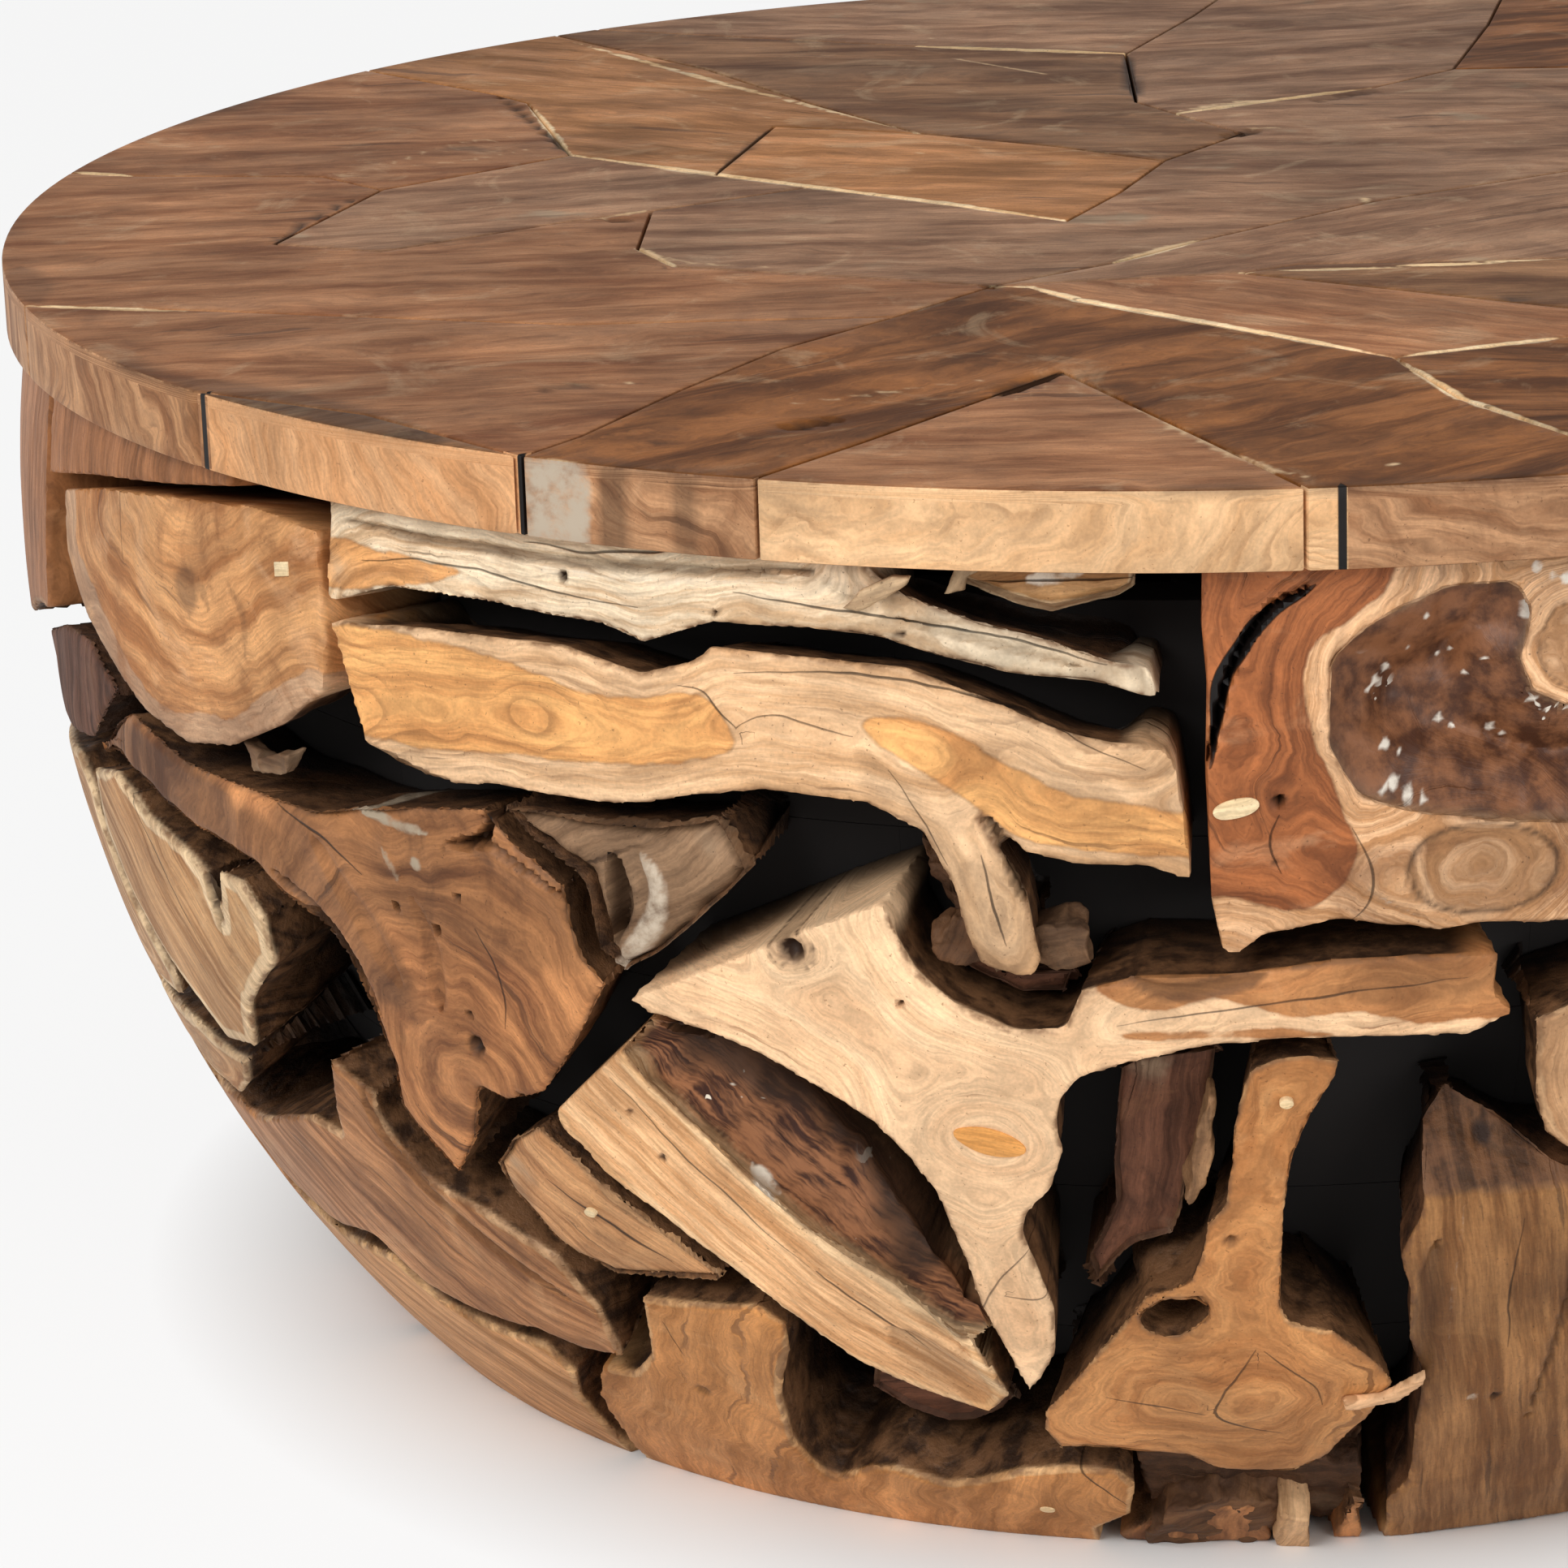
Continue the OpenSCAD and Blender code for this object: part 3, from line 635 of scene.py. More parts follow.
        for value, low, high, dark, light in (
            (noise[Pattern.BLOTCH], 0.35, 0.68, 0.84, 1.12),
            (noise[Pattern.SAND], 0.3, 0.7, 0.94, 1.06),
            (thread, 0.3, 0.7, 0.84, 1.16),
        ):
            shade = put("MapRange", {0: value, 1: low, 2: high, 3: dark, 4: light}, **EASED)
            tone = put("Math", {0: tone, 1: shade}, **TIMES)
        grey = put("CombineColor", {0: tone, 1: tone, 2: tone})
        wood = put("Mix", {0: 1, 6: wood, 7: grey}, blend_type="MULTIPLY", **COLOURS)
        speck = put("MapRange", {0: noise[Pattern.PORE], 1: 0.66, 2: 0.74, 4: 0.5}, **EASED)
        rim = put("MapRange", {0: read["edge"], 1: 0.5, 2: 2.6, 3: 0.8, 4: 0}, **EASED)
        broken = put("MapRange", {0: noise[Pattern.FRAY], 1: 0.42, 2: 0.58}, **EASED)
        layers = [(speck, self.line), (put("Math", {0: rim, 1: broken}, **TIMES), self.bark)]
        if self.weather:
            low, high = 0.62 - 0.3 * self.weather, 0.72 - 0.1 * self.weather
            patch = put("MapRange", {0: noise[Pattern.BLOTCH], 1: low, 2: high, 4: 0.866}, **EASED)
            ash = put("Mix", {0: streak, 6: self.ash_deep, 7: self.ash}, **COLOURS)
            layers.insert(0, (put("Math", {0: patch, 1: patch}, **TIMES), ash))
        for share, over in layers:
            wood = put("Mix", {0: share, 6: wood, 7: over}, **COLOURS)
        return wood

    def _cavity(self, canvas: Canvas, thread: Any) -> Any:
        """Colours the inside of a hollow, with its white glints, which are painted highlights.

        Args:
            canvas: What it is drawn on.
            thread: The socket of the finest threads.

        Returns:
            The hollow's colour socket.
        """
        put, noise = canvas.put, canvas.noise
        rough = noise[Pattern.CRUST] if self.painted_glints > 0.5 else thread
        both = put("Math", {0: rough, 1: 1.6, 2: noise[Pattern.CAVE]}, **PLUS)
        share = put("MapRange", {0: both, 1: 1, 2: 1.6}, **EASED)
        colour = put("Mix", {0: share, 6: self.cavity_deep, 7: self.cavity}, **COLOURS)
        # Painted highlights: white glints inside the hollow.
        if self.painted_glints:
            low = 0.68 - 0.12 * self.painted_glints
            group = put("MapRange", {0: noise[Pattern.CLUSTER], 1: 0.5, 2: 0.6}, **EASED)
            spot = put("MapRange", {0: noise[Pattern.FLECK], 1: low, 2: low + 0.03}, **EASED)
            share = put("Math", {0: spot, 1: group}, **TIMES)
            colour = put("Mix", {0: share, 6: colour, 7: self.pale}, **COLOURS)
        return colour


@dataclass(frozen=True)
class Mark:
    """A crack, groove, ridge, hole, patch or spot on the face of a piece.

    Attributes:
        path: Its points, in the piece's own flat coordinates. One point makes a round mark.
        wide: Half its width in millimetres.
        deep: Its depth in millimetres, negative for a ridge.
        stain_and_shade: How dark it is, from 0 to 1; in holes, grooves and shading marks this is painted
            shade.
        bleach_and_highlight: How pale it is, from 0 to 1; where a mark stands for glints this is painted
            highlight.
        taper: Whether it narrows to its ends.
    """

    path: Path
    wide: float
    deep: float = 0.0
    stain_and_shade: float = 0.0
    bleach_and_highlight: float = 0.0
    taper: bool = True


@dataclass(frozen=True)
class Knot:
    """A knot with its own rings.

    Attributes:
        centre: Its middle, in the piece's own flat coordinates.
        across: Half its width in millimetres.
        up: Half its height in millimetres.
        stain_and_shade: How dark it and its outline are, from 0 to 1.
    """

    centre: Point
    across: float
    up: float
    stain_and_shade: float = 0.3


@dataclass(frozen=True)
class Crack:
    """A thin open crack or dark line.

    Attributes:
        path: Its points, in the piece's own flat coordinates.
        half: Half its width in millimetres at its middle.
    """

    path: Path
    half: float = 0.5


@dataclass(frozen=True)
class Facet:
    """A broken or sawn plane that cuts off the face on the left of a line.

    Attributes:
        line: The line's two ends, in the piece's own flat coordinates.
        slope: How far the plane falls in for each millimetre past the line.
        bark: How much of it is bark, from 0 to 1.
    """

    line: Path
    slope: float
    bark: float = 0.8


@dataclass(frozen=True)
class Look:
    """What is drawn and carved on the face of one piece.

    Attributes:
        node: The CAD node that the piece stands for.
        finish: The wood of its face and sides.
        middle: The middle of the piece, in its own flat coordinates.
        sawn: Stretches of the outline that are sawn straight, as paths.
        hearts: Outlines of heartwood. Without any, all but a band of sapwood is heart.
        sap: Width of the band of sapwood along the natural edges, in millimetres.
        focus: The middle of the growth rings, where they are round.
        grain: Direction of straight growth rings in degrees, where they are straight.
        follow: Whether the rings run along the heartwood's outline.
        flow: How far the rings wander, in millimetres.
        knots: The piece's knots.
        marks: Its grooves, holes and spots.
        cracks: Its thin cracks and lines.
        facets: Planes that cut off parts of its face.
        wobble: How far the natural edges wander inwards, in millimetres.
        rounding: Radius of the natural edges in millimetres.
        undercut: How far a natural side draws in towards the inside, in millimetres.
        relief: Height of the unevenness of the face, in millimetres.
        dish: How far a hollow takes to fall to its full depth, in millimetres.
        tone: Lightness of the piece against its finish.
    """

    node: str
    finish: Wood
    middle: Point = (0.0, 0.0)
    sawn: tuple[Path, ...] = ()
    hearts: tuple[Path, ...] = ()
    sap: float = 6.0
    focus: Point | None = None
    grain: float | None = None
    follow: bool = False
    flow: float = 7.0
    knots: tuple[Knot, ...] = ()
    marks: tuple[Mark, ...] = ()
    cracks: tuple[Crack, ...] = ()
    facets: tuple[Facet, ...] = ()
    wobble: float = 2.6
    rounding: float = 2.2
    undercut: float = 9.0
    relief: float = 0.35
    dish: float = 16.0
    tone: float = 1.0


@dataclass
class Fields:
    """The values on a piece's vertices that its material reads.

    Attributes:
        places: Rows of the vertices' places in metres.
        flat: The same places on the piece's face, as rows of two coordinates in millimetres.
        look: What the piece looks like.
        chart: A function that gives the flat coordinates of the look's points.
        values: One array for each field.
    """

    places: np.ndarray
    flat: np.ndarray
    look: Look | None = None
    chart: Any = partial(np.array, dtype=float)
    values: dict[str, np.ndarray] = field(default_factory=dict)

    def __post_init__(self) -> None:
        """Sets every field to what plain heartwood has."""
        start = {"heart": FAR, "edge": FAR, "tone": 1.0, "gape": NO_CRACK}
        for name in FIELDS:
            self.values[name] = np.full(len(self.places), start.get(name, 0.0))

    def draw_rings(self, edge: np.ndarray) -> None:
        """Sets the growth rings' field.

        Args:
            edge: Distances to the natural edges in millimetres.
        """
        look = self.look
        if look.focus is not None:
            ring = np.linalg.norm(self.flat - self.chart((look.focus,))[0], axis=1)
        elif look.grain is not None:
            ring = self.flat @ across_grain(look.grain)
        elif look.follow:
            ring = self.heart_distance()
        else:
            ring = edge.copy()
        noise = Noise(len(look.node))
        ring = ring + look.flow * (noise.layered(self.places, 0.075) - 0.5) * 2
        ring += 0.5 * self.values["depth"]
        for knot in look.knots:
            offset = (self.flat - self.chart((knot.centre,))[0]) / (knot.across, knot.up)
            away = np.linalg.norm(offset, axis=1)
            near = ease(2.3, 0.95, away)
            ring = ring * (1 - near) + near * away * (knot.across + knot.up) / 2
            core = ease(1.08, 0.92, away) * 0.3 * knot.stain_and_shade
            rim = ease(0.09, 0.0, np.abs(away - 1)) * knot.stain_and_shade
            self.darken(np.maximum(core, rim))
        self.values["ring"] = ring

    def heart_distance(self) -> np.ndarray:
        """Measures how many millimetres each vertex lies inside the look's outlines of heartwood."""
        outlines = [rounded(self.chart(outline), closed=True) for outline in self.look.hearts]
        return np.max([inside_distance(self.flat, outline) for outline in outlines], axis=0)

    def draw_hearts(self, edge: np.ndarray) -> None:
        """Sets the field that parts heartwood from sapwood.

        Args:
            edge: Distances to the natural edges in millimetres.
        """
        heart = edge - self.look.sap * (0.3 + 1.4 * Uneven.SAPWOOD.at(self.places))
        if self.look.hearts:
            heart = self.heart_distance()
        self.values["heart"] = heart + 7 * (Uneven.BORDER.at(self.places) - 0.5)

    def darken(self, amount: np.ndarray) -> None:
        """Darkens the piece where the amount, from 0 to 1, is more than its stain."""
        # Stain and painted shade are laid on here alike.
        self.values["stain_and_shade"] = np.maximum(self.values["stain_and_shade"], amount)

    def mark_depth(self, marks: tuple[Mark, ...]) -> np.ndarray:
        """Draws marks and gives how deep they cut.

        Args:
            marks: The marks.

        Returns:
            The depth in millimetres at each vertex.
        """
        total = np.zeros(len(self.places))
        ragged = Uneven.GROOVE.at(self.places) - 0.5
        for mark in marks:
            away, share = path_distance(self.flat, rounded(self.chart(mark.path)))
            width = mark.wide * (1 + 0.5 * ragged)
            if mark.taper and len(mark.path) > 1:
                width = width * np.sqrt(np.clip(4 * share * (1 - share), 0.04, 1))
            total += mark.deep * ease(1.15, 0.25, away / width)
            # Darkness: painted shade in cut holes, grooves and shading marks, stain elsewhere.
            self.darken(mark.stain_and_shade * ease(1.3, 0.7, away / width))
            # Paleness: painted highlight where a mark stands for glints, bleached wood elsewhere.
            pale = mark.bleach_and_highlight * ease(1.3, 0.5, away / width)
            self.values["bleach_and_highlight"] = np.maximum(self.values["bleach_and_highlight"], pale)
        return total

    def draw_cracks(self) -> None:
        """Sets the fields that draw the look's cracks as crisp lines."""
        ragged = 2.2 * (Uneven.JAGGED.at(self.places) - 0.5) + 5 * (Uneven.BENT.at(self.places) - 0.5)
        swell = 0.45 + 1.1 * Uneven.SWOLLEN.at(self.places)
        best = np.full(len(self.places), np.inf)
        for crack in self.look.cracks:
            path = rounded(self.chart(crack.path))
            away, share = path_distance(self.flat, path)
            side = np.zeros(len(self.places))
            near = np.full(len(self.places), np.inf)
            for a, b in zip(path[:-1], path[1:]):
                way = (b - a) / np.linalg.norm(b - a)
                along = np.clip((self.flat - a) @ way, 0, np.linalg.norm(b - a))
                gap = np.linalg.norm(self.flat - a - along[:, None] * way, axis=1)
                closer = gap < near
                near[closer] = gap[closer]
                side[closer] = ((self.flat - a) @ np.array([-way[1], way[0]]))[closer]
            closer = away < best
            best[closer] = away[closer]
            self.values["crack"][closer] = (side + ragged)[closer]
            ends = np.clip(3.6 * share * (1 - share), 0, 1)
            half = crack.half * ends * swell - 0.28 * np.clip(away - 4.5, 0, 30) - 1.5 * (ends < 0.03)
            self.values["gape"][closer] = half[closer]

    def write(self, mesh: Any, rounds: int = 0) -> None:
        """Smooths the rings and writes every field to the mesh.

        Args:
            mesh: The mesh, with as many vertices as the fields have values.
            rounds: How many times the rings are smoothed.
        """
        ends = np.empty(len(mesh.edges) * 2, np.int32)
        mesh.edges.foreach_get("vertices", ends)
        ends = ends.reshape(-1, 2)
        both = np.concatenate([ends, ends[:, ::-1]])
        count = np.maximum(np.bincount(both[:, 0], minlength=len(self.places)), 1)
        for _ in range(rounds):
            total = np.bincount(both[:, 0], self.values["ring"][both[:, 1]], len(self.places))
            self.values["ring"] = total / count
        for name in FIELDS:
            layer = mesh.attributes.get(name) or mesh.attributes.new(name, "FLOAT", "POINT")
            layer.data.foreach_set("value", self.values[name].astype(np.float32))


@dataclass
class Bowl:
    """The ball that the roots' faces are cut to, and the maps from angles on it to places.

    Attributes:
        overhang: How far the top stands out past the roots, in metres.
        drop: How far the ball's middle lies below the top's underside.
        thick: Thickness of the root pieces.
        seen_from: Where the seen side starts, in degrees round from the front.
        seen_to: Where it ends.
        wave_round: How far a far side's outlines wander round, in degrees.
        wave_up: How far they wander up.
    """

    overhang: float = 12 * MM
    drop: float = 84 * MM
    thick: float = 58 * MM
    seen_from: float = -79.8
    seen_to: float = 27.0
    wave_round: float = 1.5
    wave_up: float = 0.8

    def __post_init__(self) -> None:
        """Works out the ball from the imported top."""
        self.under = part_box("slab_front")[0].z
        self.centre = np.array([0, 0, self.under - self.drop])
        self.radius = math.hypot(CAD_BOX[1].x - self.overhang, self.drop)

    def place(self, path: Path, side: int = 0) -> np.ndarray:
        """Gives the places on the ball of some points drawn on the seen side.

        Args:
            path: Points in degrees round from the front and up from the ball's middle.
            side: 0 for the seen side, 1 or 2 for the far side that repeats it.

        Returns:
            Rows of x, y and z in metres.
        """
        around, up = np.array(path, float).T
        if side:
            width = (360 - (self.seen_to - self.seen_from)) / 2
            share = (around - self.seen_from) / (self.seen_to - self.seen_from)
            along = 1 - share if side == 1 else share
            calm = np.sin(np.pi * along)
            wave = self.wave_round * np.sin(np.radians(9 * up + 110 * side))
            lift = self.wave_up * np.sin(np.radians(4 * around + 80 * side))
            around = self.seen_to + (side - 1) * width + along * width + calm * wave
            up = up + calm * lift
        around, up = np.radians(around), np.radians(up)
        way = np.stack([np.sin(around) * np.cos(up), -np.cos(around) * np.cos(up), np.sin(up)], 1)
        return self.centre + self.radius * way

    def axes(self, place: np.ndarray) -> tuple[np.ndarray, np.ndarray, np.ndarray]:
        """Gives the directions of the face at a place near the ball.

        Args:
            place: The place.

        Returns:
            The directions outwards, to the right and up along the face.
        """
        out = (place - self.centre) / np.linalg.norm(place - self.centre)
        east = np.cross([0, 0, 1.0], out)
        east /= np.linalg.norm(east)
        return out, east, np.cross(out, east)


@dataclass
class RootPiece:
    """One root piece, remeshed and carved from its CAD solid.

    Attributes:
        bowl: The bowl that it belongs to.
        look: What it looks like.
        piece: Its object, a merged copy of the CAD solid.
        side: 0 on the seen side, 1 or 2 on a far side.
        voxel: Size of its mesh's faces in metres.
    """

    bowl: Bowl
    look: Look
    piece: Any
    side: int
    voxel: float

    def chart(self, path: Path) -> np.ndarray:
        """Gives the flat coordinates, in millimetres, of points drawn on the seen side."""
        return self._flatten(self.bowl.place(path, self.side))

    def _flatten(self, places: np.ndarray) -> np.ndarray:
        """Gives the flat coordinates of places on the ball, about the piece's middle."""
        return np.stack([(places - self.origin) @ self.east, (places - self.origin) @ self.north], 1) / MM

    def build(self) -> None:
        """Remeshes the solid, carves it, and writes the fields that its material reads."""
        self.origin = self.bowl.place((self.look.middle,), self.side)[0]
        _, self.east, self.north = self.bowl.axes(self.origin)
        self._trace_outline()
        remesh(self.piece, self.voxel)
        self._carve()
        self.piece.data.materials.append(self.look.finish.build())

    def _trace_outline(self) -> None:
        """Samples the outline of the cut face, with the sides' directions and kinds."""
        shape = bmesh.new()
        shape.from_mesh(self.piece.data)
        centre = Vector(self.bowl.centre)
        self.face_r = max((v.co - centre).length for v in shape.verts)

        def is_cut(face: Any) -> bool:
            """Says whether a face lies on the ball."""
            out = (face.calc_center_median() - centre).normalized()
            far = min((v.co - centre).length for v in face.verts)
            return far > self.face_r - 0.6 * MM and face.normal.dot(out) > 0.9

        cut = {face for face in shape.faces if is_cut(face)}
        inner = self.face_r - self.bowl.thick
        levels = (self.bowl.under, 0.0)
        rows = []
        for edge in shape.edges:
            faces = edge.link_faces
            if len(faces) != 2 or (faces[0] in cut) == (faces[1] in cut):
                continue
            side = faces[1] if faces[0] in cut else faces[0]
            at_level = any(abs(edge.verts[0].co.z - z) < 0.5 * MM for z in levels)
            flat = at_level and abs(side.normal.z) > 0.99
            low = min((v.co - centre).length for v in side.verts)
            hollow = inner + 4 * MM < low < self.face_r - 6 * MM
            steps = max(1, math.ceil(edge.calc_length() / (2 * MM)))
            for step in range(steps):
                co = edge.verts[0].co.lerp(edge.verts[1].co, (step + 0.5) / steps)
                out = (co - centre).normalized()
                away = (side.normal - out * side.normal.dot(out)).normalized()
                rows.append((*(centre + out * self.bowl.radius), *away, flat, hollow))
        shape.free()
        table = np.array(rows)
        self.rim, self.away = table[:, :3], table[:, 3:6]
        self.rim_hollow = table[:, 7] > 0.5
        self.rim_sawn = table[:, 6] > 0.5
        for path in self.look.sawn:
            self.rim_sawn |= path_distance(self._flatten(self.rim), self.chart(path))[0] < 6

    def _nearest(self, places: np.ndarray, chosen: np.ndarray) -> tuple[np.ndarray, np.ndarray]:
        """Finds the nearest outline sample of each place.

        Args:
            places: Rows of places on the ball.
            chosen: Which samples to look among.

        Returns:
            The samples' numbers, and the distances in millimetres.
        """
        numbers = np.flatnonzero(chosen)
        if not len(numbers):
            return np.zeros(len(places), int), np.full(len(places), FAR)
        tree = KDTree(len(numbers))
        for number in numbers:
            tree.insert(self.rim[number], int(number))
        tree.balance()
        hits = [tree.find(place) for place in places.tolist()]
        return np.array([hit[1] for hit in hits]), np.array([hit[2] for hit in hits]) / MM

    def _carve(self) -> None:
        """Moves the vertices to the natural shape and sets the fields."""
        look, mesh = self.look, self.piece.data
        places = corners(mesh)
        offset = places - self.bowl.centre
        reach = np.linalg.norm(offset, axis=1)
        out = offset / reach[:, None]
        on_ball = self.bowl.centre + self.bowl.radius * out
        depth = (self.face_r - reach) / MM
        depth = np.where(depth < 0.45 * self.voxel / MM, 0, depth)
        near, edge = self._nearest(on_ball, np.ones(len(self.rim), bool))
        _, natural_edge = self._nearest(on_ball, ~self.rim_sawn)
        _, sawn_edge = self._nearest(on_ball, self.rim_sawn)
        natural = ease(1.0, 12.0, sawn_edge - edge)
        fields = Fields(places, self._flatten(on_ball), look, self.chart)
        fields.values["depth"] = depth
        fields.values["edge"] = natural_edge + 0.6 * np.clip(depth, 0, 30)
        marks = fields.mark_depth(look.marks)
        hollow = self._in_hollow(near, on_ball, depth)
        new_depth = depth * np.where(hollow, 0.18 + 0.82 * ease(0, look.dish, edge), 1)
        rough = Uneven.ROUGH.at(places)
        new_depth += np.where(hollow, 11 * (rough - 0.45) * ease(0, 10, edge), 0)
        fine = Uneven.FINE.at(places)
        broad = Uneven.BROAD.at(places)
        wander = look.wobble * (0.6 * broad + 0.25 * rough + 0.15 * fine)
        shift = natural * wander + 0.25 * (1 - natural) * fine
        shift += natural * look.undercut * np.clip(depth * MM / self.bowl.thick, 0, 1) ** 1.6
        shift += natural * ease(0.5, 6, depth) * 2.6 * (rough - 0.2)
        shift *= ease(16, 0, edge)
        radius = look.rounding * (0.4 + 1.2 * rough) * natural + 0.3
        bend = np.clip(radius - edge, 0, radius)
        face = ease(3.0, 0.0, depth)
        new_depth += face * (radius - np.sqrt(radius**2 - bend**2))
        new_depth += face * (marks + look.relief * 2 * broad)
        new_depth, torn = self._cut_facets(fields, new_depth, rough)
        new_depth = np.maximum(new_depth, 0)
        moved = self.bowl.centre + out * (self.face_r - new_depth * MM)[:, None]
        moved -= self.away[near] * (shift * MM)[:, None]
        moved[:, 2] = np.clip(moved[:, 2], 0, self.bowl.under)
        move_corners(mesh, moved)
        fields.values["bark"] = np.maximum(natural * ease(0.8, 4.5, depth) * ~hollow, torn)
        fields.values["hollow"] = hollow * ease(0, 4, edge)
        # Painted shade along a hollow's rim, where the face falls into it.
        fields.darken(0.5 * hollow * ease(5, 0.5, edge))
        # The depth that sets the painted recess shade and bends the rings: a fifth of it in hollows, less on
        # torn facets.
        fields.values["depth"] = np.where(hollow, 0.2 * depth, depth) * (1 - 0.7 * (torn > 0))
        fields.values["tone"] = np.full(len(places), look.tone)
        fields.draw_rings(natural_edge)
        fields.draw_hearts(natural_edge)
        fields.draw_cracks()
        fields.write(mesh, rounds=24)

    def _cut_facets(
        self, fields: Fields, depth: np.ndarray, rough: np.ndarray
    ) -> tuple[np.ndarray, np.ndarray]:
        """Cuts the look's facets into the piece.

        Args:
            fields: The piece's fields.
            depth: Depth of each vertex in millimetres.
            rough: Noise from 0 to 1 at each vertex.

        Returns:
            The new depths, and how much of each vertex's surface is torn.
        """
        torn = np.zeros(len(depth))
        for facet in self.look.facets:
            start, end = self.chart(facet.line)
            way = (end - start) / np.linalg.norm(end - start)
            beyond = (fields.flat - start) @ np.array([-way[1], way[0]]) + 5 * (rough - 0.5)
            fall = facet.slope * np.maximum(beyond, 0) + np.where(beyond > 0, 2.5 * rough, 0)
            cut = (fall > depth) & (beyond > 0)
            torn = np.maximum(torn, facet.bark * ease(0, 3, beyond) * cut)
            depth = np.where(cut, np.minimum(fall, self.bowl.thick / MM - 8), depth)
        return depth, torn

    def _in_hollow(self, near: np.ndarray, on_ball: np.ndarray, depth: np.ndarray) -> np.ndarray:
        """Says which vertices lie on a hollow's wall or floor, by their nearest outline samples."""
        beyond = np.einsum("ij,ij->i", on_ball - self.rim[near], self.away[near]) > -1.5 * MM
        return self.rim_hollow[near] & beyond & (depth > 0.5) & (depth * MM < self.bowl.thick - 12 * MM)


# Planed and oiled slabs: red-brown, in broad soft streaks under a dull sheen.
OILED = Wood("oiled_teak_slab", heart="#b88157", heart_deep="#7c4e33", sap="#f6dcb4", sap_deep="#dfb683",
             line="#42281a", pitch=9.0, lines=0.14, streak=16.0, fray=0.61, contrast=0.62, rough=0.55,
             grit=0.2, figure=0.5, specular=0.06, pale="#e0be94")
# Sanded burl: smoky swirls round a warm heart, going greyish at the edges.
SHIELD = Wood("sanded_teak_burl", heart="#e6aa70", heart_deep="#a0673a", sap="#dab08a", sap_deep="#a57e60",
              line="#5d3518", pitch=8.0, lines=0.25, streak=13.0, fray=0.58, warp=15.0, contrast=0.75,
              figure=1.0)
# Sanded root below the rim: plain red-brown with a little figure.
FLANK = Wood("sanded_red_teak", heart="#b77a4c", heart_deep="#80502c", sap="#c4946a", sap_deep="#8c603c",
             lines=0.3, figure=0.7)
# Sanded fresh trunk: honey yellow, with fine lines running along it.
FORK = Wood("sanded_honey_teak", heart="#f7b873", heart_deep="#d09055", sap="#f3c99d", sap_deep="#c99c70",
            line="#5c3a22", pitch=6.0, lines=0.6, streak=5.0, contrast=0.75, warp=7.0, figure=0.25)
# Sun-bleached branch: pale cream bands beside grey ones, with dry streaks.
BRANCH = Wood("sun_bleached_teak", heart="#f2b06f", heart_deep="#b98250", sap="#ffe8c6",
              sap_deep="#cda880", line="#4e3c2e", pitch=6.0, lines=0.5, streak=4.5, contrast=1.0, warp=7.0,
              weather=0.35, rough=0.62, grit=1.1, figure=0.3)
# Burl cut through its hollow: close wavy rings, and a dark hole with white glints, which are painted
# highlights.
BURL = Wood("hollow_teak_burl", heart="#b26a3c", heart_deep="#7c4524", sap="#efbf92", sap_deep="#b88558",
            line="#3c2113", pitch=6.0, lines=0.55, streak=4.0, contrast=0.9, warp=16.0, cavity="#8a5a3b",
            cavity_deep="#4a2c1d", painted_glints=0.75, pale="#e6dccd", figure=0.75)
# Sanded sappy root: golden heart with a cream border.
LEAF = Wood("sanded_sappy_teak", heart="#d8a670", heart_deep="#946338", sap="#f6d6aa", sap_deep="#c6a47e",
            line="#4b301c", pitch=9.0, lines=0.2, figure=0.55)
# Brown root rubbed smooth: cloudy light and dark swirls with hardly a line.
BROWN = Wood("rubbed_brown_teak", heart="#d6935d", heart_deep="#7a4b2d", sap="#8c623f", sap_deep="#5c3c26",
             line="#3a2114", pitch=14.0, lines=0.05, streak=14.0, fray=0.6, warp=20.0, contrast=0.8,
             rough=0.55, grit=0.9, figure=1.0, pale="#d8c4a8")
# Weathered log: grey-brown and rough, without rings.
GREY_LOG = Wood("weathered_grey_teak", heart="#a58262", heart_deep="#5f442f", sap="#8a6a4e",
                sap_deep="#553c2a", line="#2b1a10", pitch=9.0, lines=0.0, streak=9.0, warp=14.0,
                contrast=0.45, weather=0.4, rough=0.68, grit=1.4, figure=0.6, pale="#cdbda8")
# Sanded sapwood: smooth and cream, with an orange-brown heart.
CREAM = Wood("sanded_pale_teak", heart="#d79a62", heart_deep="#9a6036", sap="#fbd5aa", sap_deep="#e6b88c",
             line="#7d4a26", pitch=11.0, lines=0.24, streak=7.0, contrast=0.42, warp=9.0, grit=0.4,
             figure=0.22)
# Split log: straight light grain beside a dark trough with a few white glints, which are painted highlights.
SPLIT = Wood("split_teak_log", heart="#fccb98", heart_deep="#cb9462", sap="#ffd8a8", sap_deep="#d9a672",
             line="#6e431f", pitch=6.0, lines=0.3, streak=6.0, contrast=0.9, warp=5.0, cavity="#a06a46",
             cavity_deep="#391d12", painted_glints=0.12, figure=0.3)
# Brushed root: ridges and pits in tan and dark brown.
PLATE = Wood("brushed_root_teak", heart="#dba470", heart_deep="#94623c", sap="#d6a676", sap_deep="#8b6443",
             line="#3f2717", weather=0.15, figure=0.8, grit=1.2)
# Sanded plank: mid brown, in cloudy figure.
NOTCH = Wood("sanded_brown_plank", heart="#c78c5a", heart_deep="#7c4e2c", sap="#dbb084",
             sap_deep="#a27a54", line="#40250f", lines=0.15, pitch=9.0, figure=0.7)
# Sanded plank near the floor: golden and calm.
LOWEST = Wood("sanded_gold_plank", heart="#e3a870", heart_deep="#9a6838", sap="#e6b884",
              sap_deep="#a67b50", line="#54351d", lines=0.15, figure=0.6)
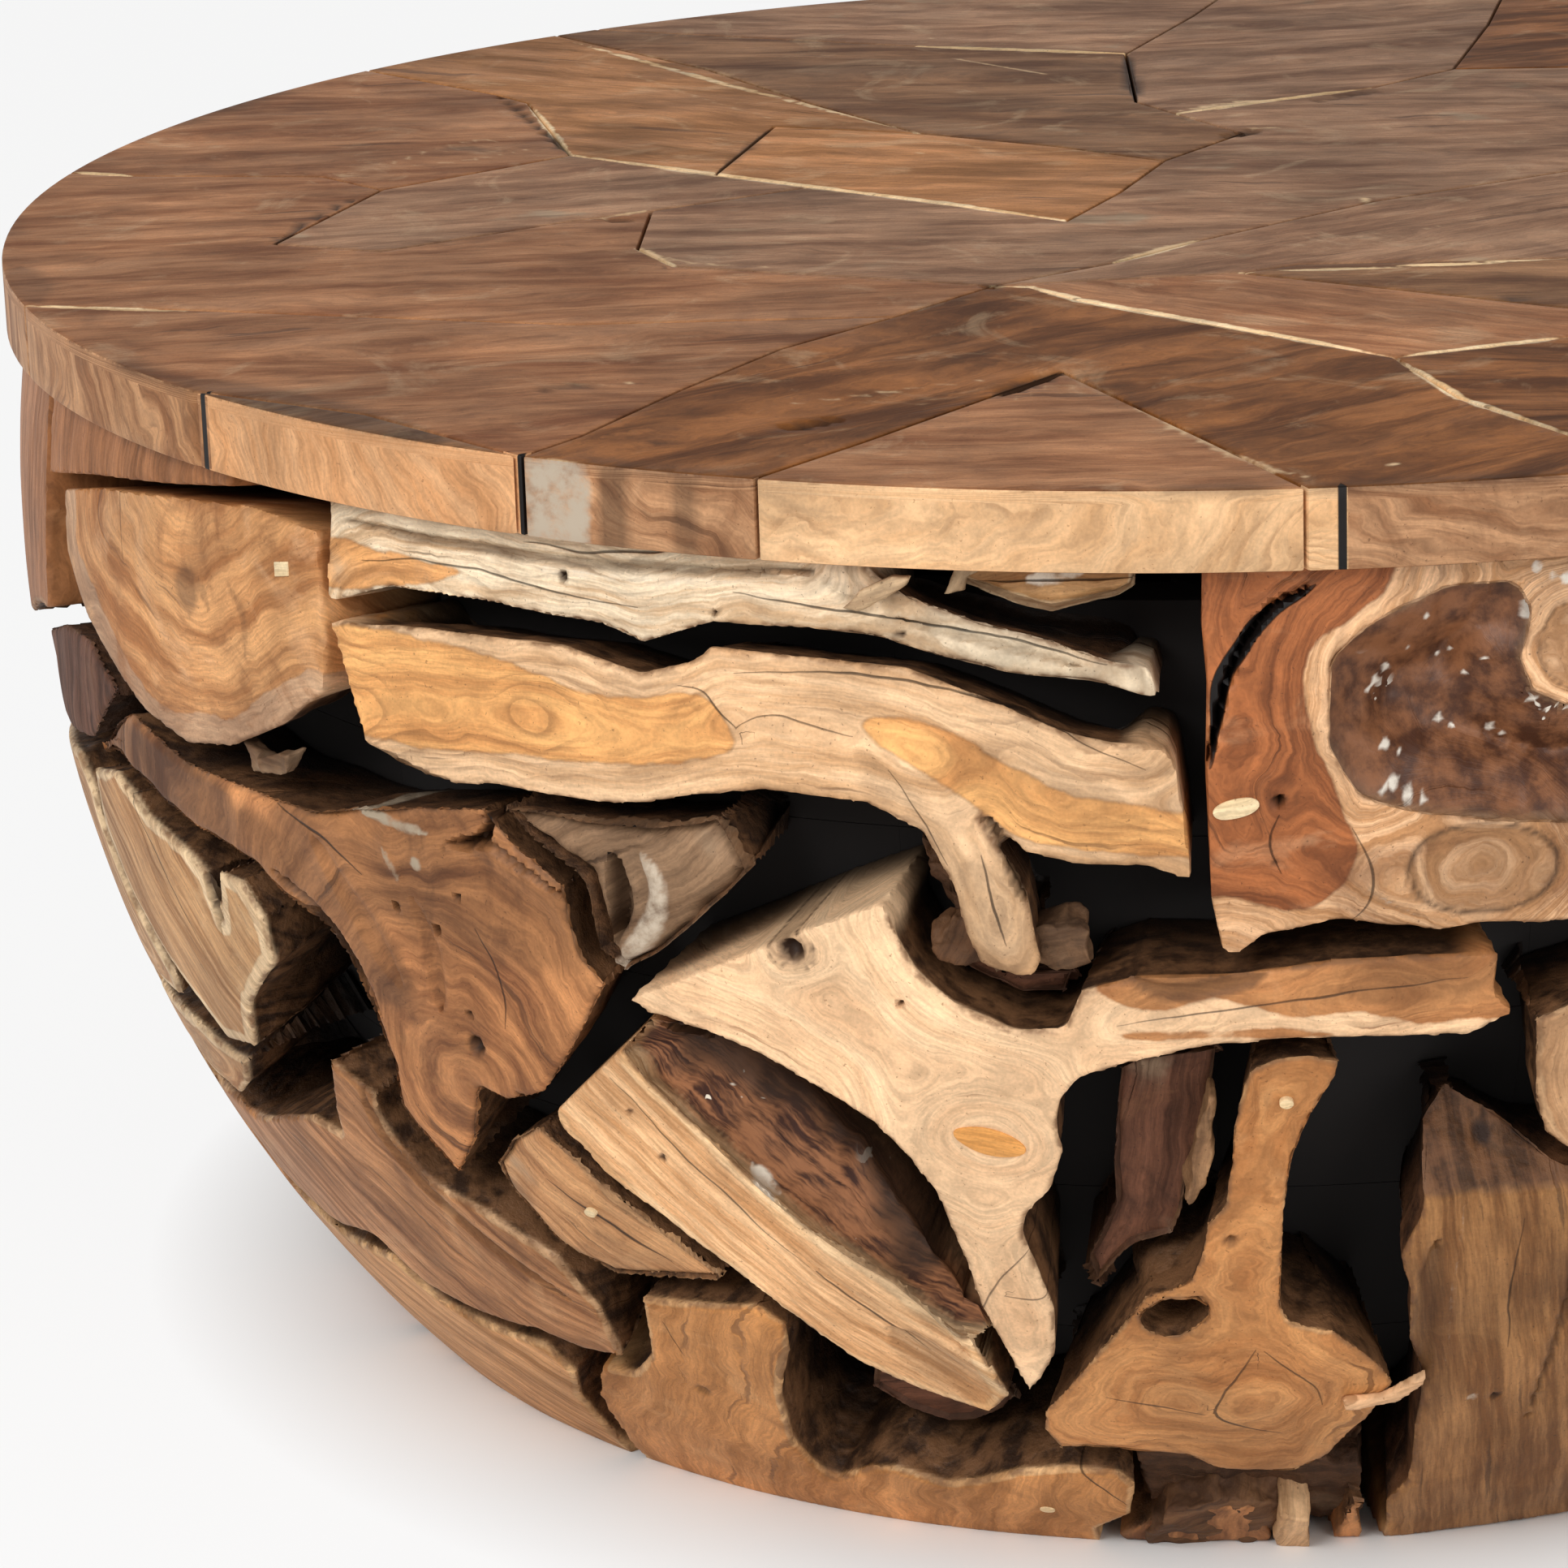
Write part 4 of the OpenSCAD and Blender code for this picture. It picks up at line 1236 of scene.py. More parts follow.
# Sanded root bend: wide orange waves that follow the curve.
HOOK = Wood("sanded_wavy_teak", heart="#d69558", heart_deep="#9c6636", sap="#e0b27f", sap_deep="#bd8a58",
            line="#5e3a1d", lines=0.15, pitch=9.0, streak=12.0, contrast=0.6, warp=24.0, figure=0.7)
# Sanded crotch of a root: flames of orange and brown.
TEE = Wood("sanded_flame_teak", heart="#cd9159", heart_deep="#a3693a", sap="#dba873", sap_deep="#9c7148",
           line="#5a361b", lines=0.4, pitch=10.0, streak=8.0, contrast=0.7, warp=22.0, figure=0.7)
# Sawn stump: brown with fine upright streaks and dark bark in its folds.
STUMP = Wood("sawn_teak_stump", heart="#9f7043", heart_deep="#6f4725", sap="#a97e52", sap_deep="#74512f",
             line="#3a2312", lines=0.1, streak=7.0, contrast=1.0, warp=4.0, pitch=12.0, figure=0.5,
             bark="#69452d", bark_deep="#2b190e")
# Sanded straw-coloured root with a faint figure.
PALE_RIGHT = Wood("sanded_straw_teak", heart="#d9a97c", heart_deep="#a87b54", sap="#e6ba8c",
                  sap_deep="#b48a63", line="#5a3a22", lines=0.15, figure=0.6)
# Unsanded wood in the shade, dark partly of itself and partly with painted shade: dusty and rough.
DARK = Wood("dusty_dark_teak_with_painted_shade", heart="#7a4e38", heart_deep="#432719", sap="#805a3b", sap_deep="#4c311f",
            line="#1d100a", bark="#573925", weather=0.15, rough=0.66, grit=1.3, lines=0.05, figure=1.0)

# Points on the roots are in degrees, round from the front and up from the level of the ball's middle.
# Holes, slits and grooves that the marks cut are darkened inside as painted shade.
ROOTS = (
    Look("left_flank_root", FLANK, (-73.5, 3), sap=3, grain=80,
         sawn=(((-67.8, -1.2), (-67.2, 4), (-67.5, 15)),)),
    Look("rim_block", FLANK, (-57, 9), sap=0, grain=70, flow=14, wobble=0.8, undercut=2,
         sawn=(((-66.8, 5.4), (-60, 6.8), (-47, 8.8), (-46.8, 15)), ((-66.8, 5.4), (-67, 15)))),
    Look("shield_root", SHIELD, (-53.5, 3), sap=14, flow=34, wobble=1.4,
         sawn=(((-66, 5), (-60, 6.4), (-52, 7.6), (-41.4, 8), (-40.7, 3), (-41, 1)),),
         marks=(Mark(((-51.2, 3.6),), 9, 0, 0.5),
                Mark(((-51.0, 2.4), (-50.2, 4.4), (-49.2, 3.0)), 2.5, 0, 0.35),
                Mark(((-47.8, 4.6), (-46.4, 3.4), (-46.4, 1.6)), 2.0, 0, 0.3)),
         cracks=(Crack(((-58.2, 8.2), (-57.8, 5.6), (-57.4, 3.2)), 0.2),)),
    Look("dark_corner_root", DARK, (-68, -4.5), sap=0, grain=70, relief=2.0),
    Look("leaf_root", LEAF, (-57.5, -13), sap=5, grain=-50, flow=16,
         marks=(Mark(((-52.6, -9.9), (-52.4, -13)), 1.6, 5, 0.9),),
         cracks=(Crack(((-60.5, -7.5), (-57.5, -11), (-55.2, -15)), 0.35),)),
    Look("sliver_root", LEAF, (-68, -14), sap=3),
    Look("small_leaf_root", LEAF, (-63, -22.5), sap=3),
    Look("left_heel_root", NOTCH, (-70, -32), sap=1, grain=-40),
    Look("brown_root", BROWN, (-41, -8), sap=0, flow=30, focus=(-36, -17), wobble=3.6, relief=2.2, rounding=4,
         marks=tuple(Mark((spot,), size, 7, 1.0) for spot, size in (
             ((-30.1, -2.9), 3.2), ((-29.4, -3.0), 2.4), ((-38, -8.2), 1.8), ((-35.8, -8.9), 2.0),
             ((-34.8, -12.8), 1.8), ((-34.8, -14.3), 4.2), ((-34.2, -7.1), 1.3), ((-32.9, -16.6), 1.6)))
         + (Mark(((-34.7, -4.8), (-32.8, -3.9), (-30.4, -4.9), (-28.4, -6.0)), 2.4, 3.5, 0.75),
            Mark(((-31.9, -2.7), (-31.9, -3.4), (-32.6, -4.2), (-33.8, -4.6)), 3.0, 8, 0.95),
            Mark(((-46, -3.2), (-41, -4.4), (-36, -4.0), (-32, -3.0)), 9.0, 3.0, 0.35),
            # The three broad marks that do not taper paint shade over the upper part.
            Mark(((-62, -6.2), (-55, -6.0), (-50, -6.6)), 16.0, 0.0, 0.55, 0, False),
            Mark(((-48, -7.2), (-44, -8.2), (-41, -9.2), (-39.5, -12)), 15.0, 0.0, 0.5, 0, False),
            Mark(((-43, -5.6), (-36, -6.4), (-29, -7)), 26, 0, 0.45, 0, False),
            Mark(((-46.5, -8.6), (-43.7, -10.1), (-41.7, -11.8), (-41.0, -14.3)), 4.5, 5.0, 0.8),
            Mark(((-33, -5), (-29, -8), (-27, -11)), 9.0, 1.0, 0.3),
            Mark(((-43, -6), (-40.5, -9), (-38.6, -12)), 6.0, 2.0, 0.35),
            Mark(((-37, -7.6), (-36.2, -10), (-36.5, -13)), 4.0, 2.0, 0.3),
            # Pale ridges and a bump: painted highlights, the white glints of raised bits.
            Mark(((-41.5, -3.4), (-38.6, -4.2), (-35.6, -4.4)), 3.2, -1.5, 0, 0.85),
            Mark(((-38.4, -5.4), (-37.4, -7.0)), 2.4, -1.0, 0, 0.7),
            Mark(((-36.4, -5.9),), 3.2, -0.6, 0, 1.0)),
         cracks=(Crack(((-45.5, -4.6), (-42.0, -5.6), (-39.6, -7.0)), 0.5),
                 Crack(((-33.6, -8.2), (-32.4, -10.6), (-32.8, -13.2)), 0.35))),
    Look("crescent_log", GREY_LOG, (-24, -5), sap=0, grain=30, flow=20, relief=2.4, rounding=13,
         marks=(Mark(((-24.4, -3.4), (-23.5, -5.0), (-23.9, -6.5), (-25.3, -8.2), (-26.7, -9.6)), 6,
                     -2.5, 0, 0.72),
                Mark(((-25.9, -4.0), (-25.6, -6.2), (-26.6, -7.9)), 6, 12, 0.6))),
    Look("long_branch", BRANCH, (-22, 7.5), relief=1.6, rounding=4, wobble=2.0, flow=6,
         hearts=(((-42, 7.7), (-37.4, 7.7), (-33.3, 7.6), (-32.8, 7.3), (-35.9, 6.2), (-42, 5.4)),),
         sawn=(((-41, 12), (-40.8, 4.9)), ((-2.5, 5.7), (-2.1, 4.3))),
         marks=(Mark(((-40, 8.6), (-31.6, 8.5), (-24.3, 8.6), (-16.4, 9.1)), 2.2, 2.4, 0.55),
                Mark(((-31, 8.1), (-24, 8.1), (-17, 8.5)), 2.6, -0.8, 0, 0.5),
                Mark(((-27.8, 7.9),), 1.8, 5, 1.0), Mark(((-20.6, 7.0),), 1.4, 4, 1.0),
                Mark(((-12.7, 6.7),), 1.4, 4, 1.0),
                Mark(((-16, 8.8), (-14.3, 8.2), (-12.2, 8.5)), 3.0, -1.0, 0.3),
                Mark(((-13, 7.4), (-9, 6.6), (-5, 5.6)), 3.0, 2.0, 0.45),
                Mark(((-12, 7.0), (-7, 6.0), (-2.5, 5.0)), 12, 0, 0.22, 0, False)),
         cracks=(Crack(((-39, 7.2), (-34, 7.5), (-29, 7.0), (-24, 6.9)), 0.3),
                 Crack(((-30, 8.9), (-24, 9.2), (-18, 9.5)), 0.4),
                 Crack(((-20, 7.9), (-15, 7.5), (-10, 7.1), (-4, 5.6)), 0.5))),
    Look("forked_trunk", FORK, (-21, 0.5), flow=4, wobble=1.6,
         hearts=(((-42, 4.2), (-35, 4.6), (-31.5, 4.4), (-27.8, 3.2), (-25.8, 3.2), (-23.5, 3.3),
                  (-21.1, 3.8), (-19.7, 2.4), (-19.7, 1.5), (-22.5, 0.7), (-27.5, 0.3), (-33.4, -0.2),
                  (-42, -0.8)),
                 ((-14.3, 2.8), (-13.9, 3.3), (-12.6, 3.5), (-10.3, 2.8), (-7.7, 1.2), (-4.8, 0.1),
                  (1, -0.4), (1, -2.3), (-3.2, -2.1), (-6.4, -1.6), (-8.4, -1.2), (-9.3, -0.7),
                  (-10.4, 0.2))),
         sawn=(((-41, 5), (-40.6, 4.3), (-38.1, -2.3)), ((-1.9, 2.4), (-1.1, -0.8), (-0.9, -3.2))),
         # The crotch's cleft and the band down the prong's left are darkened as painted shade.
         marks=(Mark(((-9.3, -0.7), (-8.5, -1.7), (-8.1, -2.9), (-7.6, -4.1)), 1.8, 5, 0.8),
                Mark(((-14.4, 1.8), (-12.0, -0.8), (-10.6, -3.0), (-9.9, -5.4)), 7, 1.0, 0.22),
                Mark(((-10.6, -2.6), (-9.4, -4.6), (-8.6, -7.6)), 16, 0, 0.27),
                Mark(((-11, 2.2), (-7, 0.4), (-3, -0.8)), 12, 0, 0.2),
                Mark(((-9.6, -6.4), (-9.2, -8.8)), 8, 0, 0.3)),
         facets=(Facet(((-7.6, -7.5), (-9.9, -7.0)), 1.3, 0.55),),
         cracks=(Crack(((-22.3, 4.0), (-21.1, 3.9), (-20.5, 3.1), (-19.4, 2.3), (-19.4, 1.7)), 0.3),
                 Crack(((-19.7, 2.5), (-18.2, 3.2), (-16.3, 3.0), (-14.5, 2.5)), 0.3),
                 Crack(((-20, 4.7), (-15, 5.2), (-10, 4.6), (-5, 2.6), (-2.5, 1.4)), 0.4),
                 Crack(((-13.4, 1.2), (-12.0, -0.8), (-10.8, -2.8)), 0.2),
                 Crack(((-9.2, -2.0), (-8.9, -4.0), (-8.5, -6.2)), 0.45))),
    Look("short_root", LEAF, (-7, 9.5), sap=3, grain=8, rounding=9, relief=1.6,
         marks=(Mark(((-7.8, 8.9), (-5.4, 9.3)), 3.5, 0, 0, 0.75),),
         cracks=(Crack(((-10, 8.7), (-6, 9.0), (-3, 9.2)), 0.5),)),
    Look("burl_section", BURL, (9, 1), flow=10, wobble=4.5, follow=True, dish=26,
         hearts=(((-2, 16), (9.5, 16), (7.6, 9.0), (5.7, 7.4), (4.1, 6.6), (3.5, 5.7), (3.8, 3.7),
                  (4.0, 2.6), (4.6, 1.0), (5.1, -0.5), (5.6, -1.7), (5.6, -2.7), (5.0, -3.7), (3.7, -4.4),
                  (2.3, -4.4), (1.0, -3.9), (-2, -3.7)),),
         sawn=(((-0.4, 15), (-0.6, 7.5), (-0.5, 1.5), (-0.3, -4), (0.1, -6.2)),),
         knots=(Knot((10.7, -3.0), 26, 18, 0.8), Knot((2.4, 0.2), 7, 9, 0.3), Knot((2.4, -2.3), 4, 4, 0.2),
                Knot((14.6, 5.8), 15, 16, 0.6)),
         marks=(Mark(((3.9, 9.2), (3.7, 8.7), (2.4, 8.2), (1.8, 7.5), (1.2, 6.7), (0.7, 5.7), (0.3, 4.6),
                      (0.1, 3.5), (-0.2, 2.5), (-0.4, 1.6)), 1.6, 8, 0.4),
                Mark(((2.5, 0.2),), 2.2, 6, 1.0), Mark(((2.4, -2.3),), 1.2, 4, 1.0),
                Mark(((6, -3.6), (7.0, -4.5), (8.2, -5.2)), 1.2, 0.5, 0.3, 0.5),
                Mark(((5.4, 7.6), (4.8, 5.0), (5.2, 2.2), (6.4, 0.2)), 3.0, 0.8, 0.25))
         # White spots in the hollow: painted highlights, the glints of its glossy floor.
         + tuple(Mark((spot,), size, 0, 0, 0.95) for spot, size in (
             ((7.1, 5.0), 2.6), ((6.7, 4.5), 2.2), ((6.4, 4.1), 1.6), ((9.4, 5.3), 1.4), ((9.4, 2.6), 2.2),
             ((9.9, 2.3), 1.6), ((11.5, 2.2), 2.4), ((12.0, 1.9), 1.8), ((7.0, 1.9), 2.4), ((7.5, 1.6), 1.6),
             ((7.3, 0.9), 2.4), ((7.9, 0.5), 2.6), ((8.5, 0.3), 2.0), ((6.8, 0.7), 1.6), ((13.0, 9.1), 2.6),
             ((13.6, 8.7), 2.4), ((12.0, 7.3), 2.0), ((14.2, 8.6), 2.8), ((8.8, 7.0), 1.8), ((8.1, 5.9), 1.2),
             ((10.4, 4.6), 1.4), ((12.6, 3.3), 1.8), ((13.1, 2.9), 1.4), ((9.9, 5.6), 1.2),
             ((10.9, 5.4), 1.2))),
         cracks=(Crack(((4.1, 9.2), (3.7, 8.7), (2.6, 8.1), (1.9, 7.5), (1.3, 6.7), (0.7, 5.7), (0.3, 4.6),
                        (0.1, 3.5), (-0.2, 2.5), (-0.5, 1.4)), 2.9),
                 Crack(((5.4, -1.0), (6.1, -2.6), (6.2, -4.2), (5.2, -5.4)), 0.3),
                 Crack(((2.6, -0.2), (2.0, -1.6), (2.6, -3.0)), 0.3))),
    Look("y_root", CREAM, (-8, -13), flow=10, wobble=1.4, undercut=5,
         hearts=(((-6.5, -5.0), (-5.2, -8.0), (-2.6, -8.9), (0.4, -8.4), (3.0, -9.3), (6.2, -9.0),
                  (8.4, -10.0), (11.0, -9.7), (14.5, -10.6), (14.5, -4), (4, -4)),
                 ((-4.6, -10.0), (0.8, -9.6), (3.2, -9.9), (6.2, -10.3), (2.0, -10.3), (-2.6, -10.4))),
         sawn=(((-25.8, -10.2), (-17.3, -6), (-13.6, -4.4)), ((11.5, -6.7), (12.3, -9.5))),
         knots=(Knot((-17.7, -7.0), 9, 7, 0.9), Knot((-9.9, -15.3), 24, 20, 0.0)),
         marks=(Mark(((-17.7, -7.0),), 5, 6, 1.0), Mark(((-13.1, -9.0),), 1.6, 4, 1.0),
                Mark(((-3.6, -7.4), (-1.7, -8.2), (1.9, -7.3)), 4.5, 2, 0.6),
                Mark(((11.4, -5.6), (12.6, -7.6), (12.8, -9.4)), 9, 1.5, 0.5),
                Mark(((-5.5, -6.6), (0.5, -6.3), (7.5, -5.5)), 8, 1.0, 0.45),
                Mark(((5.2, -8.0), (8.2, -7.6), (11.4, -7.6)), 12, 0, 0.3)),
         cracks=(Crack(((-11.9, -26.2), (-10.6, -24.2), (-9.7, -22.6), (-7.7, -20.6)), 0.4),
                 Crack(((-10.4, -24.0), (-8.4, -24.4), (-7.2, -23.4)), 0.3),
                 Crack(((-4.4, -9.6), (0.4, -8.8), (5.2, -8.2), (10.4, -7.9)), 0.4))),
    Look("trough_log", SPLIT, (-20, -19), sap=5, grain=-46, flow=3, wobble=2.4, dish=44,
         sawn=(((-25.1, -11.3), (-26.5, -12.7), (-30.9, -16.7)),),
         marks=(Mark(((-25.5, -18.2),), 1.6, 3, 1.0), Mark(((-26.7, -16.0),), 1.2, 3, 1.0),
                # Painted shadow: a broad dark band under the Y root's edge, along the trough's upper side.
                Mark(((-22.8, -12.4), (-19.4, -14.2), (-16.6, -16.6), (-14.6, -19.2), (-13.4, -22.0)), 15,
                     5, 0.85, 0, False),
                Mark(((-24.8, -11.4), (-23.1, -13.3), (-20.7, -17.1), (-17.8, -20.7), (-14.9, -24.1),
                      (-12.3, -27.9)), 7, 2.0, 0.2),
                Mark(((-15.8, -26.7), (-13.0, -29.6), (-10.4, -31.1)), 12, 2.0, 0.35),
                # A pale patch of painted glints in the trough.
                Mark(((-21.0, -18.0), (-19.8, -19.6)), 4, 0, 0, 0.75)),
         cracks=(Crack(((-27.6, -14.2), (-24, -18.2), (-19, -23.4)), 0.3),
                 Crack(((-20, -22.4), (-17, -25.2), (-14, -28.0)), 0.45))),
    Look("small_plate", PLATE, (-30.5, -22), sap=3, relief=3.0, rounding=4, grain=-40,
         cracks=(Crack(((-33, -21), (-30, -22.6), (-27, -25)), 0.5),)),
    Look("notched_plank", NOTCH, (-46, -26.5), sap=1, flow=14, grain=-42,
         marks=(Mark(((-43.9, -18.2), (-43.8, -21.4), (-40.6, -25.2), (-34.7, -28.7)), 3.5, 2.0, 0.4),)),
    Look("lowest_plank", LOWEST, (-50, -37), sap=2, grain=-30, flow=6),
    Look("hooked_root", HOOK, (-24, -34), sap=2, grain=72, flow=18,
         sawn=(((-39.2, -42), (-37.6, -36.6), (-35.6, -33.8)),),
         marks=(Mark(((-28.5, -33.5),), 3.0, 1.5, 0.5),),
         cracks=(Crack(((-8.3, -35.3), (-6.6, -37.2), (-5.0, -39.1)), 0.4),
                 Crack(((-29, -28.6), (-28.5, -31)), 0.2))),
    Look("t_root", TEE, (1, -25), sap=0, flow=18, relief=2.2,
         marks=(Mark(((0.4, -20.6),), 3.0, 3, 0.6),),
         cracks=(Crack(((1.6, -27.0), (0.9, -28.6), (0.2, -30.0), (-0.6, -31.7), (1.2, -32.8),
                        (3.2, -33.4)), 0.4),
                 Crack(((1.8, -27.2), (2.9, -28.4), (4.4, -29.6), (4.8, -31.3)), 0.3),
                 Crack(((-6.0, -30.5), (-3.4, -31.0), (-0.6, -31.7)), 0.3))),
    Look("foot_wedges", BROWN, (0, -41), sap=0, grain=80, relief=2.0, wobble=3.6, tone=0.8),
    Look("stump", STUMP, (15, -26), sap=0, grain=101, flow=2, relief=1.8,
         facets=(Facet(((8, -18.8), (15.5, -18.6)), 1.0, 0.85), Facet(((14, -17.5), (26, -19)), 1.0, 0.85)),
         marks=(Mark(((11.8, -16.9),), 3.5, 8, 1.0), Mark(((13.7, -31.3),), 1.8, 2, 0.9),
                Mark(((12.5, -31.1),), 3.0, 0, 0, 0.6),
                Mark(((10.7, -19), (10.6, -24), (10.8, -29)), 2.0, 0, 0, 0.4),
                Mark(((9.6, -21), (9.4, -26), (9.7, -30)), 6.0, 3.0, 0.35),
                Mark(((16.4, -21), (16.2, -27), (15.8, -33)), 1.4, 1.5, 0.5)),
         cracks=(Crack(((13.6, -20), (13.2, -24), (13.6, -28)), 0.3),)),
    Look("right_root", PALE_RIGHT, (19, -16), sap=3, flow=14, relief=1.4),
    Look("root_behind_t", DARK, (-2, -17), sap=0, grain=80, flow=12, relief=2.5, wobble=4),
    Look("chunks_behind", DARK, (-8, -8.5), sap=0, grain=20, relief=3.0, wobble=4.5),
)

# The courses of the far sides from the rim down, and the seen pieces that each repeats.
COURSES = (
    ("rim", ("left_flank_root", "rim_block", "shield_root", "long_branch", "burl_section")),
    ("upper", ("dark_corner_root", "sliver_root", "leaf_root", "brown_root", "crescent_log", "forked_trunk")),
    ("middle", ("small_leaf_root", "small_plate", "trough_log", "y_root", "right_root")),
    ("foot", ("left_heel_root", "notched_plank", "lowest_plank", "hooked_root", "t_root", "stump")),
)


@dataclass
class RootBowl:
    """The bowl of root pieces, seen ones and those of the far sides.

    Attributes:
        bowl: The ball that their faces are cut to.
        seen_voxel: Size of the seen pieces' mesh faces in metres.
        far_voxel: Size of the far pieces' mesh faces.
    """

    bowl: Bowl
    seen_voxel: float = 1.9 * MM
    far_voxel: float = 4.0 * MM

    def build(self) -> None:
        """Builds every root piece and reports it."""
        looks = {look.node: look for look in ROOTS}
        for look in ROOTS:
            self._build_node(look.node, [look], 0)
        for side, place in ((1, "right"), (2, "back")):
            for course, nodes in COURSES:
                self._build_node(f"{place}_{course}_roots", [looks[node] for node in nodes], side)

    def _build_node(self, node: str, looks: list[Look], side: int) -> None:
        """Builds the piece that stands for a node, from its loose solids.

        Args:
            node: The CAD node's name.
            looks: What its solids look like.
            side: The side of the bowl that it is on.
        """
        whole = cad_copy(node)
        edit_whole(bpy.ops.mesh.separate, type="LOOSE")
        solids = list(bpy.context.selected_objects)
        for solid in solids:
            middle = corners(solid.data).mean(0)
            gaps = [np.linalg.norm(self.bowl.place((k.middle,), side)[0] - middle) for k in looks]
            look = looks[int(np.argmin(gaps))]
            if side:
                looks = [k for k in looks if k is not look] or looks
            voxel = self.far_voxel if side else self.seen_voxel
            RootPiece(self.bowl, look, solid, side, voxel).build()
        select_only(whole)
        for solid in solids:
            solid.select_set(True)
        if len(solids) > 1:
            bpy.ops.object.join()
        whole.name = f"{node}_wood"
        finish_piece(whole, node, smooth=50)


@dataclass(frozen=True)
class SlabLook:
    """What one slab of the top looks like.

    Attributes:
        node: The CAD node that it stands for.
        grain: Direction of its grain, in degrees from the table's left to right.
        finish: The wood of its top.
        rim: The wood of its face at the rim.
        tilt: How far the growth rings lie over, from 0 for upright to 90 for flat, in degrees.
        flow: How far the grain wanders, in millimetres.
        tone: Lightness of its top.
        rim_tone: Lightness of its face at the rim.
    """

    node: str
    grain: float
    finish: Wood
    rim: Wood
    tilt: float = 20.0
    flow: float = 12.0
    tone: float = 1.0
    rim_tone: float = 1.0


@dataclass(frozen=True)
class SeamShade:
    """A dark seam of painted shade across the rim, with no gap cut, and the wood of the rim on its left.

    Attributes:
        turn: Its place in degrees round from the front.
        start: Where the wood on its left starts.
        wood: That wood, or nothing for that of each slab.
    """

    turn: float
    start: float = 0.0
    wood: Wood | None = None


